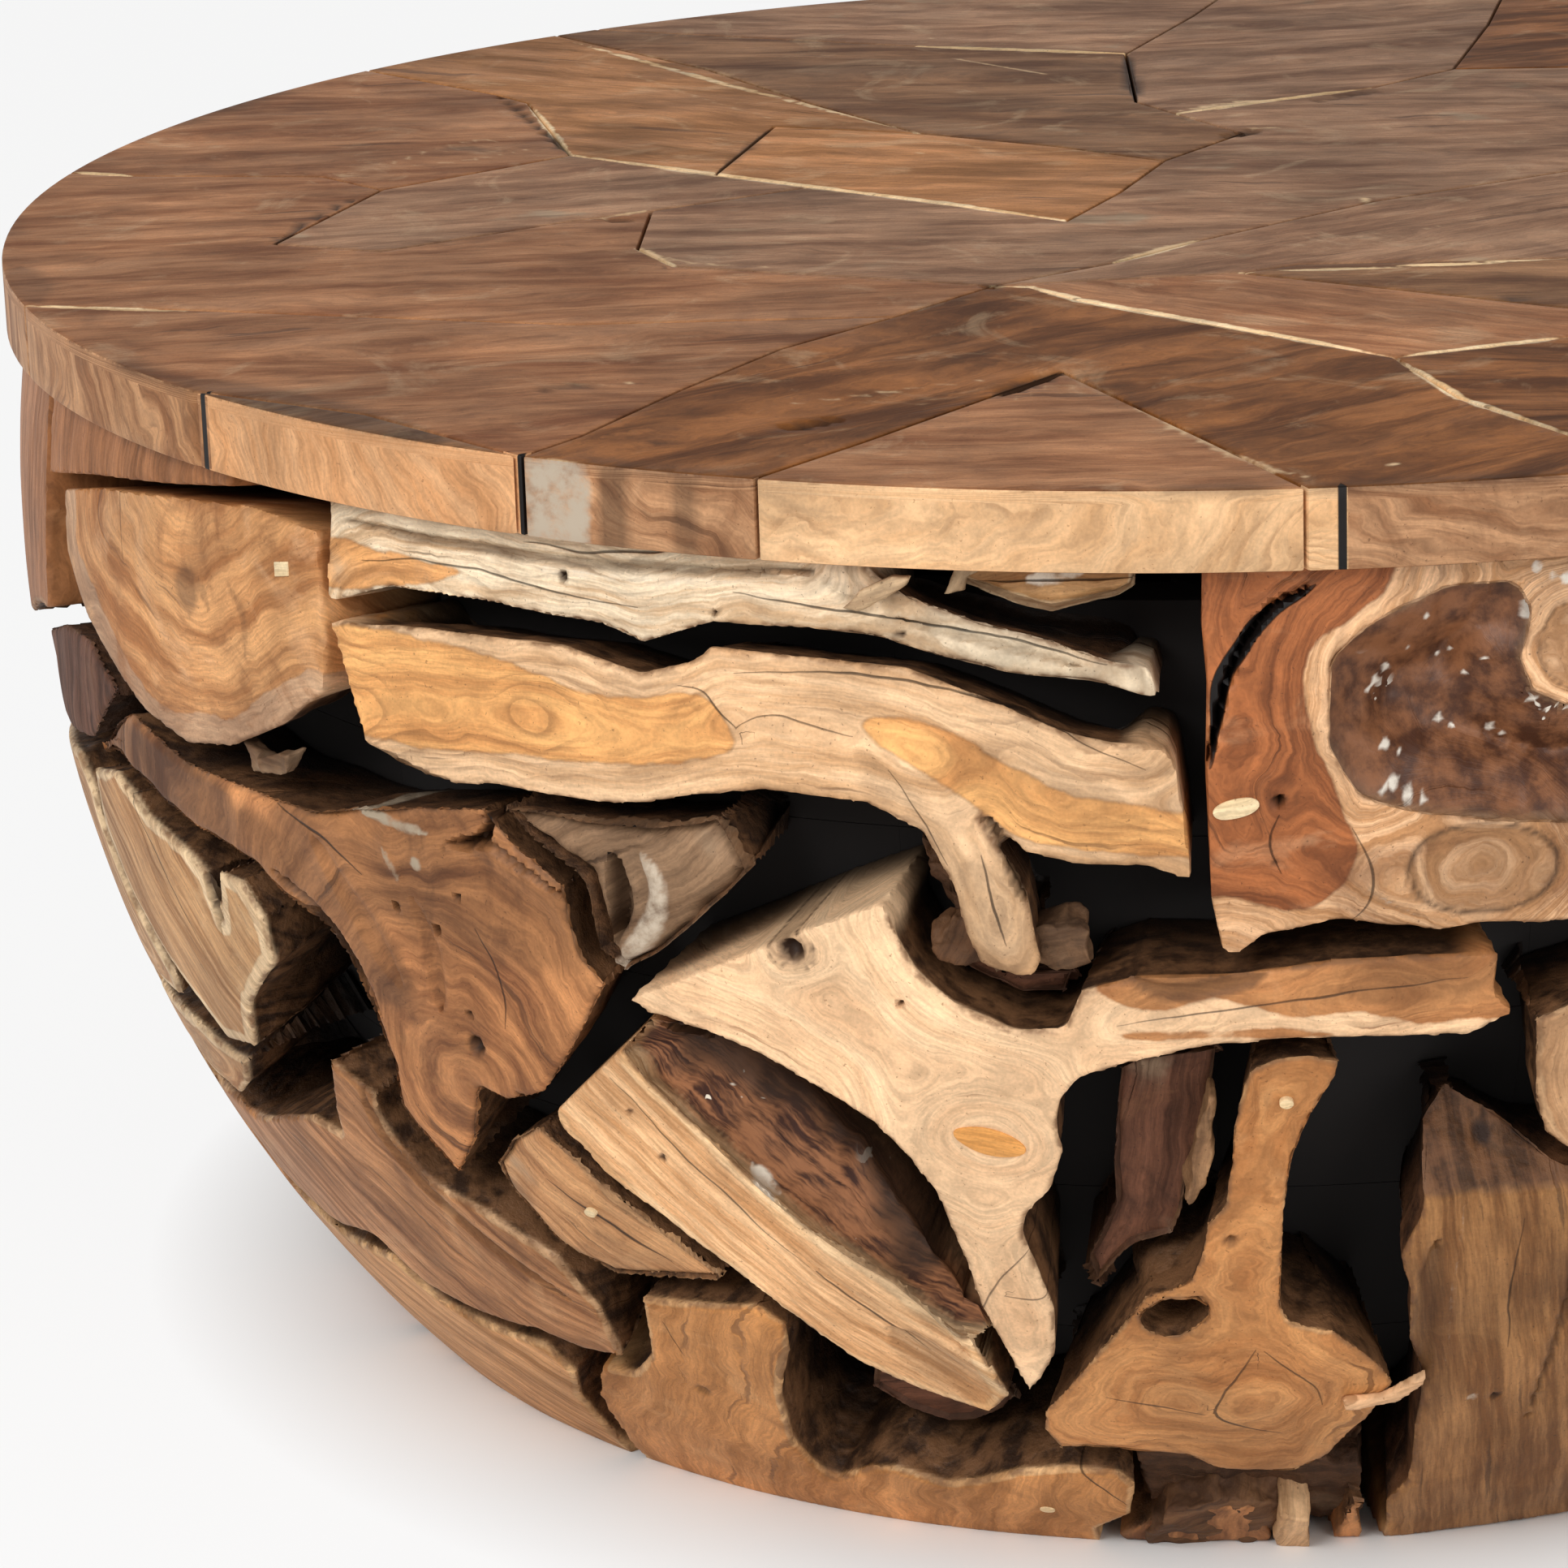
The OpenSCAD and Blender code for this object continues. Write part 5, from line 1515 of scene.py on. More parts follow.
@dataclass
class Top:
    """The round top of fitted slabs.

    Attributes:
        looks: What each slab looks like.
        seams: Paths of the seams that are pale with sapwood, with half their width in millimetres.
        marks: Knots, slits and pale spots, in millimetres from the middle.
        rim_darkening: Dark patches on the top alone that end at the rim's edge.
        seam_shades: The dark seams of painted shade across the rim, from the left.
        bevel: Width of the slabs' worn edges in metres.
        grid: Distance between the cuts that divide the faces, in metres.
    """

    looks: tuple[SlabLook, ...]
    seams: tuple[tuple[Path, float], ...]
    marks: tuple[Mark, ...]
    rim_darkening: tuple[Mark, ...]
    seam_shades: tuple[SeamShade, ...]
    bevel: float = 0.9 * MM
    grid: float = 5 * MM

    def build(self) -> None:
        """Builds every slab."""
        for look in self.looks:
            self._build_slab(look)

    def _build_slab(self, look: SlabLook) -> None:
        """Builds one slab from its CAD node.

        Args:
            look: What it looks like.
        """
        piece = cad_copy(look.node)
        edit_whole(bpy.ops.mesh.dissolve_limited, angle_limit=math.radians(0.3))
        edges = {"limit_method": "ANGLE", "angle_limit": math.radians(40)}
        apply_modifier(piece, "BEVEL", width=self.bevel, segments=2, **edges)
        self._cut_grid(piece)
        self._draw_fields(piece, look)
        woods = [seam_shade for seam_shade in self.seam_shades if seam_shade.wood]
        for wood in (look.finish, look.rim, *(seam_shade.wood for seam_shade in woods)):
            piece.data.materials.append(wood.build())
        rim_r = CAD_BOX[1].x - 4 * MM
        for face in piece.data.polygons:
            if math.hypot(face.center.x, face.center.y) > rim_r and abs(face.normal.z) < 0.75:
                turn = math.degrees(math.atan2(face.center.x, -face.center.y))
                left = [n for n, seam_shade in enumerate(woods) if seam_shade.start < turn < seam_shade.turn]
                face.material_index = 2 + left[0] if left else 1
        finish_piece(piece, look.node, smooth=30)

    def _cut_grid(self, piece: Any) -> None:
        """Divides a slab's faces by level and upright cuts, so that its fields have places to lie.

        Args:
            piece: The slab.
        """
        shape = bmesh.new()
        shape.from_mesh(piece.data)
        places = corners(piece.data)
        low, high = places.min(0), places.max(0)
        for axis in range(3):
            count = max(1, round((high[axis] - low[axis]) / self.grid))
            normal = [float(axis == other) for other in range(3)]
            for step in range(1, count):
                at = [n * (low[axis] + (high[axis] - low[axis]) * step / count) for n in normal]
                everything = shape.verts[:] + shape.edges[:] + shape.faces[:]
                bmesh.ops.bisect_plane(shape, geom=everything, dist=1e-6, plane_co=at, plane_no=normal)
        shape.to_mesh(piece.data)
        shape.free()

    def _draw_fields(self, piece: Any, look: SlabLook) -> None:
        """Writes the fields that a slab's materials read.

        Args:
            piece: The slab.
            look: What it looks like.
        """
        places = corners(piece.data)
        flat = places[:, :2] / MM
        fields = Fields(places, flat)
        tilt = math.radians(look.tilt)
        along, across = flat @ across_grain(look.grain - 90), flat @ across_grain(look.grain)
        down = (CAD_BOX[1].z - places[:, 2]) / MM
        seed = sum(map(ord, look.node))
        stretched = np.stack([along / 5, across, down], 1)
        drift = Noise(seed).layered(stretched, 34, 3) - 0.5
        ring = across * math.cos(tilt) + down * math.sin(tilt) + 2 * look.flow * drift
        ring += np.where(down > 1, 0.3 * flat[:, 0], 0)
        fields.mark_depth(self.rim_darkening)
        fields.values["stain_and_shade"] *= ease(1, 0, down)
        cut = fields.mark_depth(self.marks)
        places[:, 2] -= np.where(down < 0.01, cut, 0) * MM
        move_corners(piece.data, places)
        seam = np.full(len(places), -FAR)
        for path, half in self.seams:
            away, share = path_distance(flat, np.array(path, float))
            seam = np.maximum(seam, half * np.clip(6 * share * (1 - share), 0.35, 1) - away)
        ragged = Noise(seed + 5).layered(stretched, 10, 2) - 0.5
        reach = np.linalg.norm(flat, axis=1)
        cloud = Noise(seed + 11).layered(np.stack([along / 3, across, down], 1), 60, 3) - 0.5
        tone = np.where(reach > 498, look.rim_tone, look.tone) * (1 + 0.36 * drift + 0.55 * cloud)
        patches = ease(0.45, 0.75, Noise(seed + 8).layered(places, 0.05, 2))
        brink = ease(484, 499, reach) * patches * ease(3, 0, down)
        fields.values["ring"] = ring
        fields.values["heart"] = 1.5 * ragged - seam
        fields.values["tone"] = tone
        fields.darken(0.55 * brink)
        turn = np.degrees(np.arctan2(places[:, 0], -places[:, 1]))
        # Painted shade: a dark seam across the rim face and the top's edge at each place.
        for seam_shade in self.seam_shades:
            gap = np.radians(turn - seam_shade.turn) * reach
            near = (reach > 470) & (np.abs(gap) < 20)
            fields.values["crack"][near] = gap[near]
            fields.values["gape"][near] = 1.5 - 0.35 * np.clip(499 - reach[near], 0, 30)
        fields.write(piece.data)


@dataclass(frozen=True)
class Plug:
    """A small plug of wood set in the face of a root piece.

    Attributes:
        node: The CAD node of the piece that it sits in.
        centre: Its place, in degrees round and up.
        across: Its length in millimetres.
        up: Its width in millimetres.
        turn: How far its length is turned up to the right, in degrees.
        corners: How many corners it has; many make it round.
        finish: Its wood.
    """

    node: str
    centre: Point
    across: float
    up: float
    turn: float
    corners: int
    finish: Wood

    def build(self, bowl: Bowl, number: int) -> None:
        """Adds the plug as a thin piece with a worn edge.

        Args:
            bowl: The bowl in whose face it sits.
            number: Its number among the plugs.
        """
        piece = add_prism(f"plug_{number}", self.corners)
        places = corners(piece.data)
        if self.corners == 4:
            places[:, :2] = places[:, :2] @ np.array([[1, 1], [-1, 1]]) / math.sqrt(2) * 1.25
        ragged = 1 + 0.16 * (Noise(number).at(places * 1.3 + number, 1.0) - 0.5)
        places[:, :2] *= ragged[:, None]
        centre = bowl.place((self.centre,))[0]
        up, east, north = bowl.axes(centre)
        turn = math.radians(self.turn)
        flat = places[:, :2] * (self.across / 2, self.up / 2)
        right = flat[:, 0] * math.cos(turn) - flat[:, 1] * math.sin(turn)
        high = flat[:, 0] * math.sin(turn) + flat[:, 1] * math.cos(turn)
        rise = np.where(places[:, 2] > 0, 0.35, -2.5)
        placed = centre + (np.outer(right, east) + np.outer(high, north) + np.outer(rise, up)) * MM
        move_corners(piece.data, placed)
        apply_modifier(piece, "BEVEL", width=0.3 * MM, segments=2, limit_method="ANGLE")
        places = corners(piece.data)
        fields = Fields(places, np.zeros((len(places), 2)))
        fields.values["ring"] = (places - centre) @ (north * math.cos(turn) - east * math.sin(turn)) / MM
        fields.write(piece.data)
        piece.data.materials.append(self.finish.build())
        finish_piece(piece, self.node, stands_for=False, smooth=40)


@dataclass(frozen=True)
class Chip:
    """A flake, splinter or lump of bark on or between the root pieces.

    Attributes:
        node: The CAD node of the piece that it belongs to.
        outline: Its corners, in degrees round and up.
        rise: How far its face stands out from the ball in millimetres, negative behind it.
        thick: Its thickness in millimetres.
        finish: Its wood.
        grain: Direction of its grain in degrees.
        lean: How much further out its face stands for each millimetre to the right.
        bark: How much of it is bark, from 0 to 1.
        rough: How uneven it is, in millimetres.
    """

    node: str
    outline: Path
    rise: float
    thick: float
    finish: Wood
    grain: float = 0.0
    lean: float = 0.0
    bark: float = 0.0
    rough: float = 3.0

    def build(self, bowl: Bowl, number: int) -> None:
        """Adds the chip as a small uneven solid.

        Args:
            bowl: The bowl that it lies on.
            number: Its number among the chips.
        """
        piece = add_prism(f"chip_{number}", len(self.outline))
        placed = bowl.place(self.outline)
        middle = placed.mean(0)
        up, east, north = bowl.axes(middle)
        places = corners(piece.data)
        for row, place in enumerate(places):
            corner = placed[row // 2]
            out = self.rise + self.lean * (corner - middle) @ east / MM - (0 if place[2] > 0 else self.thick)
            places[row] = corner + up * out * MM
        move_corners(piece.data, places)
        remesh(piece, MM)
        places = corners(piece.data)
        shift = np.stack([Noise(number + 3 * k).layered(places, 0.011, 3) - 0.5 for k in range(3)], 1)
        places += 2 * self.rough * MM * shift
        places[:, 2] = np.clip(places[:, 2], 0, bowl.under)
        move_corners(piece.data, places)
        fields = Fields(places, np.stack([(places - middle) @ east, (places - middle) @ north], 1) / MM)
        fields.values["ring"] = fields.flat @ across_grain(self.grain)
        fields.values["bark"][:] = self.bark
        fields.values["heart"][:] = -FAR
        fields.write(piece.data)
        piece.data.materials.append(self.finish.build())
        finish_piece(piece, self.node, stands_for=False)


@dataclass(frozen=True)
class BlackFrameAndShadeSheet:
    """The hidden frame behind the roots, stained black, and the black backing behind the gaps, whose black is
    painted shade.

    Attributes:
        nodes: The CAD nodes that are shown as they are.
        colour: Its black colour, which on the backing is painted shade.
        worn: Its paler streaks.
        streak: Width of a streak in millimetres.
    """

    nodes: tuple[str, ...] = ("black_backing", "inner_hoops", "inner_ribs", "top_bearers")
    colour: str = "#0b0807"
    worn: str = "#1c1512"
    streak: float = 28.5714

    def build(self) -> None:
        """Gives the frame's nodes their black stained wood, which on the backing is painted shade."""
        # Softwood stained black, and the backing's painted shade: dark and dull, with streaks that show that
        # there is wood behind the gaps.
        material, put = new_material("black_stained_wood_and_painted_shade")
        links = {"Vector": put("TexCoord", out="Object"), "Scale": 1 / (self.streak * MM), "Detail": 5}
        stain_and_shade = put("Mix", {0: put("TexNoise", links), 6: self.colour, 7: self.worn}, **COLOURS)
        face = {"Base Color": stain_and_shade, "Roughness": 0.9}
        put("OutputMaterial", {"Surface": put("BsdfPrincipled", face)})
        for node in self.nodes:
            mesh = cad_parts[node].data
            mesh.materials.clear()
            mesh.materials.append(material)


# The rim as it was sanded: light tan, with fine lines along it.
RIM_CLEAN = Wood("sanded_rim_teak", heart="#dfaa7a", heart_deep="#c98f5e", sap="#e7ba8f",
                 sap_deep="#cf9b6c", line="#7c5336", lines=0.3, streak=5.0, contrast=0.5, grit=0.2)
# Rim where the rings fan out: darker, with strong lines.
RIM_FAN = replace(RIM_CLEAN, name="fanned_rim_teak", heart="#c39063", heart_deep="#8b5c39", line="#5a361f",
                  lines=0.6, contrast=1.0, streak=7.0)
# Rim through a burl: mottled light and dark brown.
RIM_MOTTLED = replace(RIM_CLEAN, name="mottled_rim_teak", heart="#c4946b", heart_deep="#865939",
                      line="#50301b", lines=0.3, contrast=0.7, figure=1.0, streak=9.0, pale="#b7a793")
# Rim in sapwood: cream, with thin brown lines.
RIM_CREAM = replace(RIM_CLEAN, name="cream_rim_teak", heart="#edc395", heart_deep="#d3a06e",
                    line="#98683e", lines=0.6, contrast=0.4, figure=0.15)
# Rim in heartwood: even brown.
RIM_BROWN = replace(RIM_CLEAN, name="brown_rim_teak", heart="#bc8c66", heart_deep="#9a6c49",
                    line="#6a4429", lines=0.3, contrast=0.5)
# Oiled slab with the strongest colour: orange-brown with near-black streaks.
WARM = replace(OILED, name="warm_oiled_slab", heart="#985e2d", heart_deep="#553117", contrast=0.85)
# Oiled slabs of deep brown heartwood.
DEEP = replace(OILED, name="dark_oiled_slab", heart="#9c6f49", heart_deep="#5c3c28")
# Oiled slabs that are greyed a little by wear.
GREYED = replace(OILED, name="greyed_oiled_slab", heart="#b38765", heart_deep="#76533e", weather=0.1)
# Oiled slabs of lighter, golden wood.
GOLD = replace(OILED, name="golden_oiled_slab", heart="#c58856", heart_deep="#8a5d38")
# Turned plugs of fresh sapwood: the lightest wood of the table.
PALE_PLUG = replace(RIM_CLEAN, name="turned_pale_plug", heart="#f8e2b8", heart_deep="#ecca98", lines=0.1,
                    figure=0.0)
# Turned inlays of orange heartwood.
INLAY = replace(RIM_CLEAN, name="turned_orange_inlay", heart="#f3ae62", heart_deep="#dc9850")

# Points on the top are in millimetres from its middle.
# Seams of painted shade in the rim, each with the rim's wood on its left.
SEAM_SHADES = (SeamShade(-47.5, -90, RIM_FAN), SeamShade(-28.8), SeamShade(5.0, 0, RIM_CREAM))

SLABS = (
    SlabLook("slab_triangle", 0, OILED, RIM_CREAM, tone=1.02),
    SlabLook("slab_front", 40, WARM, RIM_MOTTLED, tilt=50, flow=26),
    SlabLook("slab_edge_strip", 25, DEEP, RIM_CLEAN),
    SlabLook("slab_front_left", 8, OILED, RIM_CLEAN, flow=18),
    SlabLook("slab_left", 6, OILED, RIM_FAN, flow=18, tone=1.02),
    SlabLook("slab_leaf", 12, GREYED, RIM_FAN, tone=1.15),
    SlabLook("slab_back_left", 4, OILED, RIM_FAN, tone=0.96, flow=20),
    SlabLook("slab_orange", -25, GOLD, RIM_CLEAN),
    SlabLook("slab_small_plank", -11, GOLD, RIM_CLEAN, tone=1.14),
    SlabLook("slab_dark_back", -4, DEEP, RIM_BROWN, flow=20, tone=1.08),
    SlabLook("slab_back_rim", -6, GREYED, RIM_BROWN),
    SlabLook("slab_back", 12, GREYED, RIM_BROWN, flow=20, tone=0.95),
    SlabLook("slab_back_right", 20, WARM, RIM_BROWN),
    SlabLook("slab_right_back", 15, GOLD, RIM_CLEAN),
    SlabLook("slab_grey_middle", 0, GREYED, RIM_BROWN, tone=0.96),
    SlabLook("slab_long_wedge", 31, GREYED, RIM_BROWN, flow=16, tone=1.08),
    SlabLook("slab_right", 12, OILED, RIM_BROWN),
    SlabLook("slab_slim", 2, DEEP, RIM_BROWN, tone=1.1),
    SlabLook("slab_pale_blade", -27, OILED, RIM_BROWN, tone=1.18),
    SlabLook("slab_right_middle", -10, GREYED, RIM_BROWN),
    SlabLook("slab_front_right", -3, WARM, RIM_BROWN, flow=20),
    SlabLook("slab_right_front", -12, WARM, RIM_BROWN, tone=1.05),
)

# The seams with sapwood, and half the width of each.
SEAMS = (
    (((-462, -187), (-397, -201)), 2.5),
    (((-492, 77), (-466, 66)), 2.5),
    (((-277, 93), (-210, 45), (-167, 15), (-104, -28), (-58, -63)), 3.0),
    (((-312, 381), (-220, 250), (-127, 127)), 2.0),
    (((-137, 339), (-38, 309)), 3.5),
    (((-14, 160), (33, 189), (74, 212)), 3.0),
    (((-37, -143), (-5, -106)), 2.4),
    (((12, -166), (75, -160), (140, -150)), 2.2),
    (((-84, -181), (-69, -185), (-50, -209), (3, -255), (67, -312)), 3.2),
    (((67, -312), (132, -284)), 2.4),
    (((67, -312), (88, -376), (123, -431)), 2.2),
    (((-230, -101), (-212, -136)), 1.8),
    (((-309, 216), (-277, 93)), 1.8),
)

# Dark and pale spots, slits and scratches; the cut slits are darkened inside as painted shade.
TOP_MARKS = (
    Mark(((-238, -445), (-229, -450), (-221, -454)), 7.5, 0, 0, 1.0, False),
    Mark(((-207, -456),), 6.0, 0, 0.6), Mark(((-181, -468),), 5.0, 0, 0.5),
    Mark(((-152, -407), (-141, -399), (-130, -392)), 3.6, 3, 0.95),
    Mark(((-245, -344), (-234, -335), (-224, -337)), 4.0, 0.6, 0.6),
    Mark(((-232, -334), (-226, -336)), 1.6, 0, 0, 0.8),
    Mark(((-371, 58),), 3.0, 0, 0, 0.9),
    Mark(((-338, 119), (-315, 108)), 5.0, 0.4, 0.5),
    Mark(((116, -220),), 4.0, 2, 0.95),
    Mark(((121, -216),), 2.5, 0, 0, 0.9),
    Mark(((-123, 84),), 2.4, 0, 0, 1.0),
    Mark(((-144, 394),), 2.4, 0, 0, 1.0),
    Mark(((61, -468),), 2.4, 0, 0, 1.0),
    Mark(((-130, 360),), 2.4, 0, 0, 1.0),
    Mark(((66, -39),), 3.6, 0, 0.4, 0.7),
    Mark(((-192, -422),), 3.2, 0.5, 0.6, 0.3),
    Mark(((-249, -46), (-234, -44)), 2.4, 1.5, 0.8),
    Mark(((48, 182), (77, 208)), 4.0, 1.0, 0.5),
    Mark(((-381, -80), (-372, -30), (-356, 18)), 1.6, 1.0, 0.9),
    Mark(((-325, 237), (-300, 165), (-277, 93)), 2.0, 1.5, 0.9),
    Mark(((-210, 45), (-201, 97), (-192, 149)), 1.6, 1.0, 0.8),
    Mark(((-38, 309), (-35, 250), (-32, 190)), 2.4, 1.5, 0.95),
    Mark(((8, 105), (15, 113), (24, 122)), 4.0, 2, 0.95),
    Mark(((-78, -361), (-66, -344), (-54, -326)), 4.0, 2, 0.95),
    Mark(((-88, -182), (-80, -184)), 4.5, 1, 0.7),
    Mark(((-358, 75), (-332, 126), (-304, 138)), 3.0, 0, 0, 0.6),
    Mark(((-347, 75), (-317, 88), (-296, 108)), 3.0, 0, 0, 0.6),
    Mark(((-343, 102), (-316, 117), (-302, 152)), 2.0, 0, 0, 0.5),
    Mark(((-377, 64), (-368, 65)), 3.0, 0, 0, 0.8),
    Mark(((-260, -45), (-244, -37), (-232, -25)), 3.0, 0, 0, 0.7),
    Mark(((-229, -99), (-213, -130), (-168, -142)), 2.4, 0, 0, 0.75),
    Mark(((-241, -328), (-224, -337)), 3.0, 0, 0, 0.6),
    Mark(((-215, -335), (-208, -333)), 2.5, 0, 0, 0.8),
    Mark(((-153, -371), (-120, -354), (-76, -335)), 3.2, 0, 0, 0.65),
    Mark(((-27, -382), (2, -447), (36, -492)), 3.5, 0, 0, 0.7),
    Mark(((-73, -372), (-53, -341), (-47, -359)), 4.0, 0, 0, 0.55),
    Mark(((-128, 319), (-93, 278), (-70, 259)), 2.6, 0, 0, 0.7),
    Mark(((-14, 164), (12, 184), (33, 189)), 4.0, 0, 0, 0.8),
    Mark(((18, 124), (33, 122)), 3.5, 0, 0, 0.9),
    Mark(((60, -38), (67, -29)), 3.0, 0, 0, 0.9),
    Mark(((-35, -135), (-19, -119), (-5, -105)), 3.4, 0, 0, 0.8),
    Mark(((-290, 319), (-232, 221), (-188, 159)), 3.5, 0, 0, 0.5),
    Mark(((-281, 349), (-230, 293), (-187, 216)), 3.0, 0, 0, 0.45),
    Mark(((67, -117), (101, -74), (145, -54)), 3.0, 0, 0, 0.5),
    Mark(((-488, -5), (-462, -118)), 2.0, 0, 0, 0.3),
)

# Darker patches on the top along the rim.
RIM_DARKENING = (
    Mark(((-386, -311), (-347, -343), (-314, -375), (-270, -419)), 13, 0, 0.5),
    Mark(((-481, -116), (-469, -150), (-460, -180)), 10, 0, 0.4),
)

# Plugs and chips are placed by degrees, as the roots are.
PLUGS = (
    Plug("burl_section", (0.8, -0.1), 16, 7, 12, 24, PALE_PLUG),
    Plug("shield_root", (-43.7, 5.9), 9, 6, 10, 4, PALE_PLUG),
    Plug("t_root", (2.8, -13.3), 5, 4, 0, 16, PALE_PLUG),
    Plug("small_plate", (-30.6, -22.3), 5, 4, 0, 16, PALE_PLUG),
    Plug("hooked_root", (-10.1, -39.9), 6, 4, 0, 16, PALE_PLUG),
    Plug("y_root", (-9.8, -15.4), 26, 11, -14, 28, INLAY),
)

CHIPS = (
    Chip("long_branch", ((-15.0, 7.7), (-14.2, 8.6), (-12.9, 9.1), (-12.1, 9.2), (-12.3, 8.8), (-13.2, 8.2),
                         (-14.3, 7.7)), 4, 5, LEAF, 24, 0.12, 0.35, 1.2),
    Chip("long_branch", ((-11.0, 8.3), (-10.7, 9.0), (-10.5, 9.5), (-10.1, 9.7), (-9.5, 9.7), (-9.7, 9.3),
                         (-10.1, 9.1), (-10.2, 8.5)), -6, 5, LEAF, 60, 0.0, 0.4, 1.2),
    Chip("root_behind_t", ((-1.2, -19.3), (-1.6, -18.7), (-1.1, -16.5), (-0.8, -14.8), (-0.6, -13.6),
                           (-0.3, -13.6), (-0.3, -16.1), (-0.5, -17.6)), -8, 14, PLATE, 82, 0.0, 0.5, 2.4),
    Chip("t_root", ((5.9, -30.4), (7.7, -30.3), (9.0, -29.4), (9.9, -28.8), (9.7, -29.5), (8.6, -30.5),
                    (6.9, -30.9), (6.0, -30.9)), 2.2, 4, RIM_CREAM, 20, 0.0, 0.0, 0.7),
    Chip("foot_wedges", ((-4.9, -42.5), (-3.1, -39.8), (-0.4, -38.9), (3.1, -39.8), (3.6, -41.2),
                         (1.8, -43.6),
                         (-3.4, -43.6)), -1, 26, DARK, 10, -0.1, 0.3, 4.0),
    Chip("foot_wedges", ((-4.7, -36.6), (-2.5, -35.2), (2.3, -37.2), (7.5, -38.0), (8.1, -42.1), (6.0, -43.4),
                         (-4.2, -42.4)), -12, 30, DARK, 0, 0.0, 0.8, 4.0),
    Chip("foot_wedges", ((3.3, -39.7), (4.9, -39.9), (5.1, -43.3), (3.4, -43.6), (2.9, -41.9)), 2, 22, NOTCH,
         80, 0.2, 0.0, 1.6),
    Chip("chunks_behind", ((-10.2, -6.2), (-8.8, -5.6), (-8.0, -6.2), (-8.2, -7.4), (-9.3, -7.8),
                           (-10.0, -7.2)),
         -8, 12, GREY_LOG, 30, 0.1, 0.2, 3.4),
    Chip("chunks_behind", ((-11.9, -6.4), (-10.8, -5.4), (-9.5, -5.8), (-9.4, -7.1), (-10.7, -7.7),
                           (-11.8, -7.3)), -10, 16, DARK, 60, 0.0, 0.5, 5.0),
    Chip("chunks_behind", ((-8.1, -6.1), (-6.5, -5.6), (-5.5, -6.0), (-5.6, -7.2), (-6.9, -7.6),
                           (-8.1, -7.4)),
         -10, 18, GREY_LOG, 10, 0.1, 0.4, 5.0),
    Chip("chunks_behind", ((-12.6, -3.0), (-11.1, -3.3), (-9.6, -4.0), (-8.6, -5.5), (-9.6, -6.4),
                           (-11.4, -6.0), (-12.4, -4.6)), -26, 20, DARK, -40, 0.0, 0.7, 6.0),
    Chip("brown_root", ((-48.2, -2.9), (-46.2, -3.1), (-44.2, -2.4), (-44.6, -3.4), (-47.4, -4.0)), -4, 8,
         GREY_LOG, 0, 0.0, 0.3, 4.0),
)


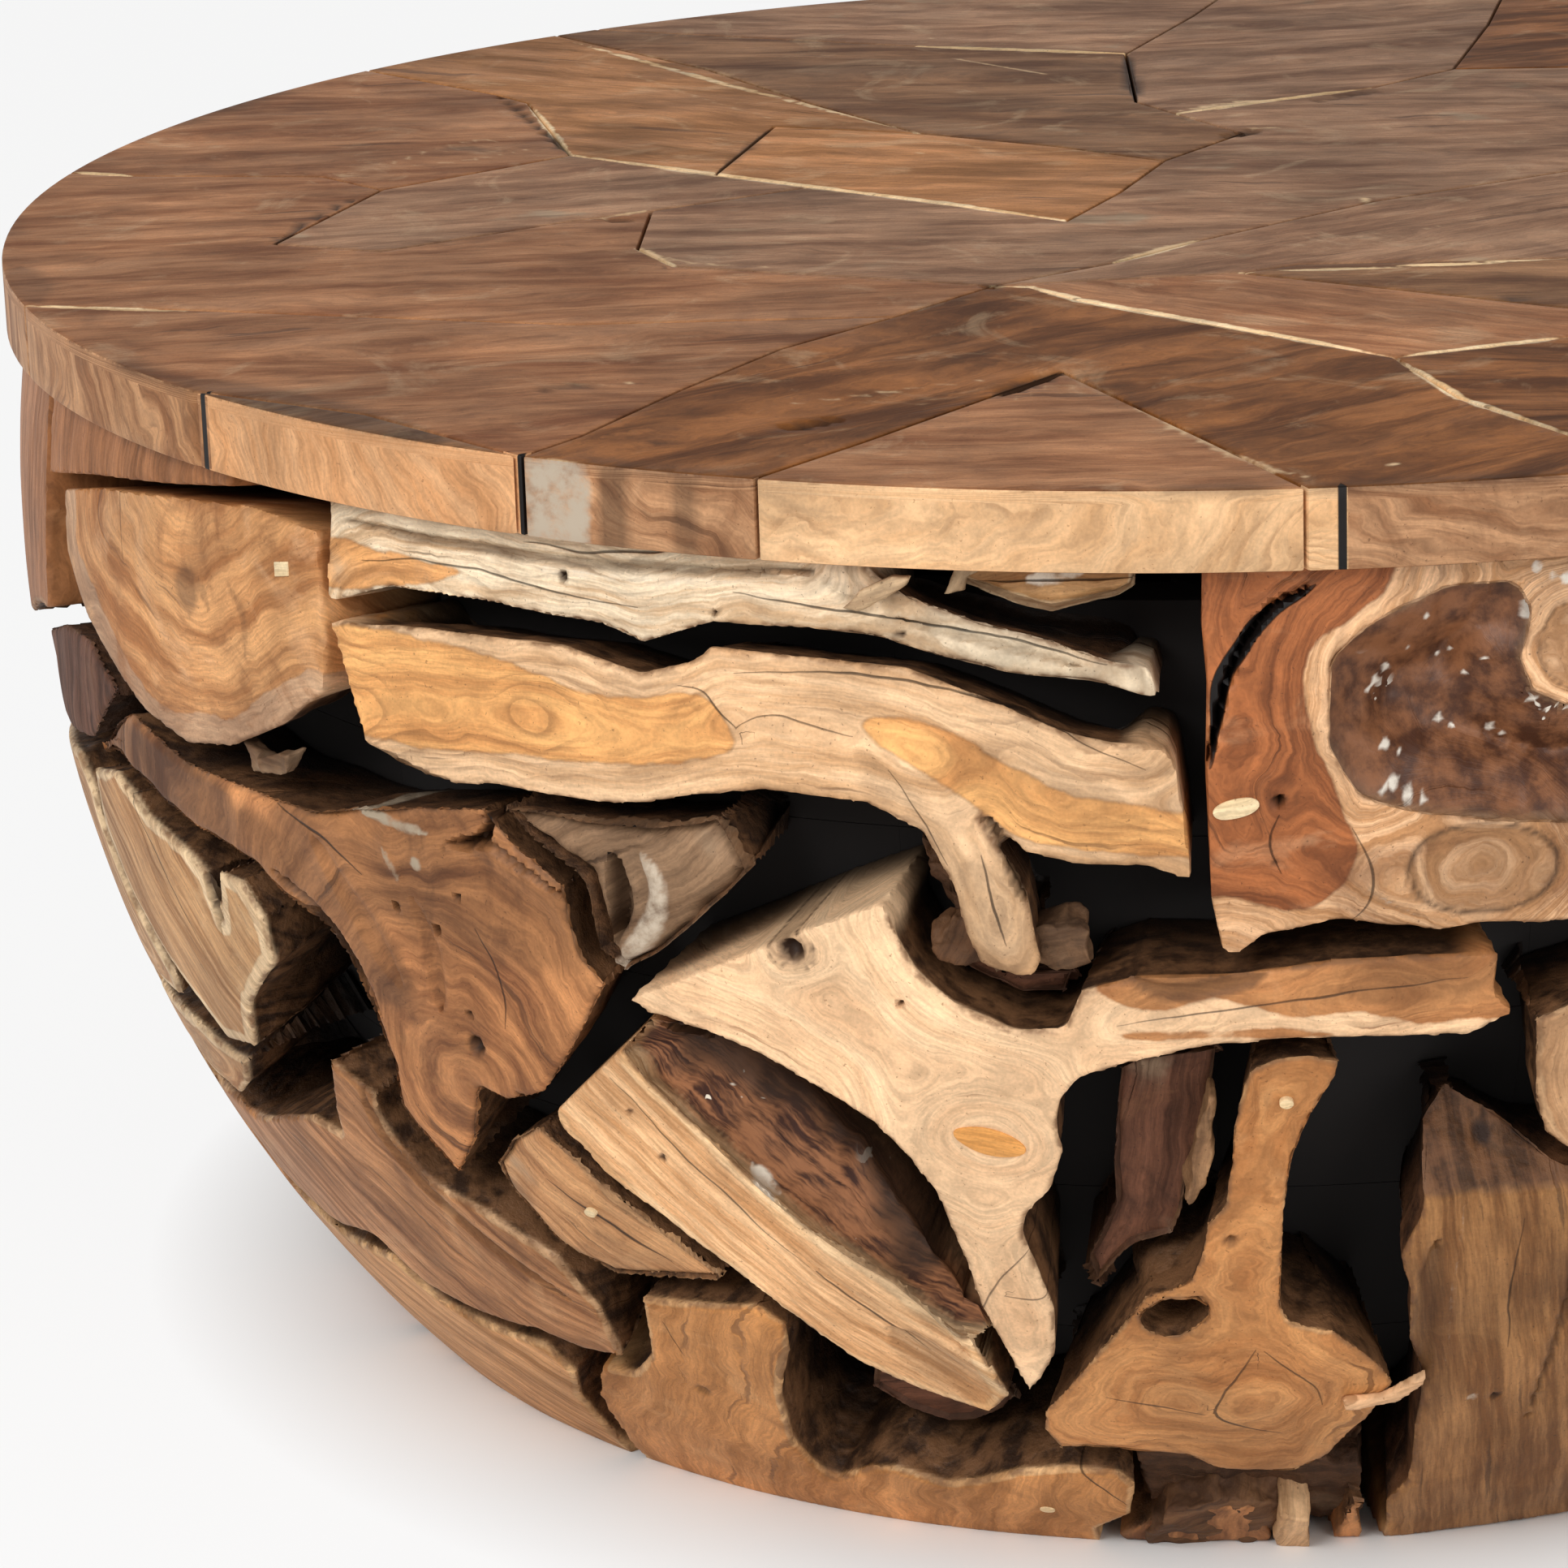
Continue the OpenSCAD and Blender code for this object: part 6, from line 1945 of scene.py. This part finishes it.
@dataclass
class Studio:
    """The pale floor, the soft lights and the camera.

    Attributes:
        view_from: The camera's place in metres.
        pan: How far the camera turns from straight ahead, in degrees.
        tilt: How far it looks down.
        roll: How far it leans.
        lens: Its focal length in millimetres on a sensor 36 mm wide.
        ambient: Strength of the world's light.
        floor: Colour of the floor's paint.
        white: Colour of the world and of the floor further out, as the camera sees them.
    """

    view_from: tuple[float, float, float] = (0.0, -2.402, 0.947)
    pan: float = -4.43
    tilt: float = 17.42
    roll: float = -1.98
    lens: float = 134.05
    ambient: float = 0.42
    floor: str = "#f4f3f1"
    white: str = "#ffffff"

    def build(self) -> None:
        """Makes the camera, the floor, the world and the lights."""
        self._make_camera()
        self._make_floor()
        self._make_lights()

    def _make_camera(self) -> None:
        """Adds the camera at the photograph's place and angle."""
        pan, tilt, roll = (math.radians(a) for a in (self.pan, self.tilt, self.roll))
        ahead = Vector((math.sin(pan) * math.cos(tilt), math.cos(pan) * math.cos(tilt), -math.sin(tilt)))
        right = Vector((math.cos(pan), -math.sin(pan), 0))
        up = right.cross(ahead)
        leaned_right = math.cos(roll) * right + math.sin(roll) * up
        leaned_up = math.cos(roll) * up - math.sin(roll) * right
        data = bpy.data.cameras.new("camera")
        data.lens = self.lens
        data.sensor_width = 36
        camera = bpy.data.objects.new("camera", data)
        bpy.context.scene.collection.objects.link(camera)
        turn = Matrix((leaned_right, leaned_up, -ahead)).transposed().to_4x4()
        camera.matrix_world = Matrix.Translation(self.view_from) @ turn
        bpy.context.scene.camera = camera

    def _seen(self, put: Any) -> Any:
        """Gives the socket that is 1 for rays from the camera and from reflections."""
        rays = [put("LightPath", out=f"Is {kind} Ray") for kind in ("Camera", "Glossy")]
        return put("Math", dict(enumerate(rays)), operation="MAXIMUM")

    def _make_floor(self) -> None:
        """Adds the pale floor, white to the camera but for the object's shadow."""
        bpy.ops.object.select_all(action="DESELECT")
        bpy.ops.mesh.primitive_plane_add(size=40)
        floor = bpy.context.active_object
        floor.name = "floor"
        # Matt paint: near white, with a soft shadow that fades between 0.36 and 0.47 m from the middle.
        material, put = new_material("matt_floor_paint")
        reach = put("VectorMath", {0: put("TexCoord", out="Object")}, out="Value", operation="LENGTH")
        bare = put("MapRange", {0: reach, 1: 0.36, 2: 0.47, 4: 0.84})
        share = put("Math", {0: self._seen(put), 1: bare}, **TIMES)
        paint = put("BsdfPrincipled", {"Base Color": self.floor, "Roughness": 0.8})
        glow = put("Emission", {"Color": self.white, "Strength": 1})
        put("OutputMaterial", {"Surface": put("MixShader", {0: share, 1: paint, 2: glow})})
        floor.data.materials.append(material)

    def _make_lights(self) -> None:
        """Adds a plain world and two soft lamps."""
        world = bpy.data.worlds.new("studio_world")
        bpy.context.scene.world = world
        world.use_nodes = True
        world.node_tree.nodes.clear()
        put = partial(add, world.node_tree)
        level = put("MapRange", {0: self._seen(put), 3: self.ambient, 4: 1})
        put("OutputWorld", {"Surface": put("Background", {"Color": self.white, "Strength": level})})
        # Each lamp's name, place, width in metres and power in watts.
        lamps = (("key_lamp", (-1.5, -2.6, 2.2), 1.6, 60.0), ("fill_lamp", (1.9, -2.8, 1.0), 1.6, 28.0))
        for name, place, size, power in lamps:
            data = bpy.data.lights.new(name, "AREA")
            data.size = size
            data.energy = power
            lamp = bpy.data.objects.new(name, data)
            bpy.context.scene.collection.objects.link(lamp)
            lamp.location = place
            lamp.rotation_euler = (Vector((0, 0, 0.25)) - Vector(place)).to_track_quat("-Z", "Y").to_euler()


def main() -> None:
    """Builds the studio and every part of the table."""
    logging.basicConfig(level=logging.INFO, format="%(message)s")
    bpy.context.scene.view_settings.view_transform = "Standard"
    bowl = Bowl()
    Studio().build()
    Top(SLABS, SEAMS, TOP_MARKS, RIM_DARKENING, SEAM_SHADES).build()
    RootBowl(bowl).build()
    for small in (PLUGS, CHIPS):
        for number, piece in enumerate(small):
            piece.build(bowl, number)
    BlackFrameAndShadeSheet().build()


if __name__ == "__main__":
    main()
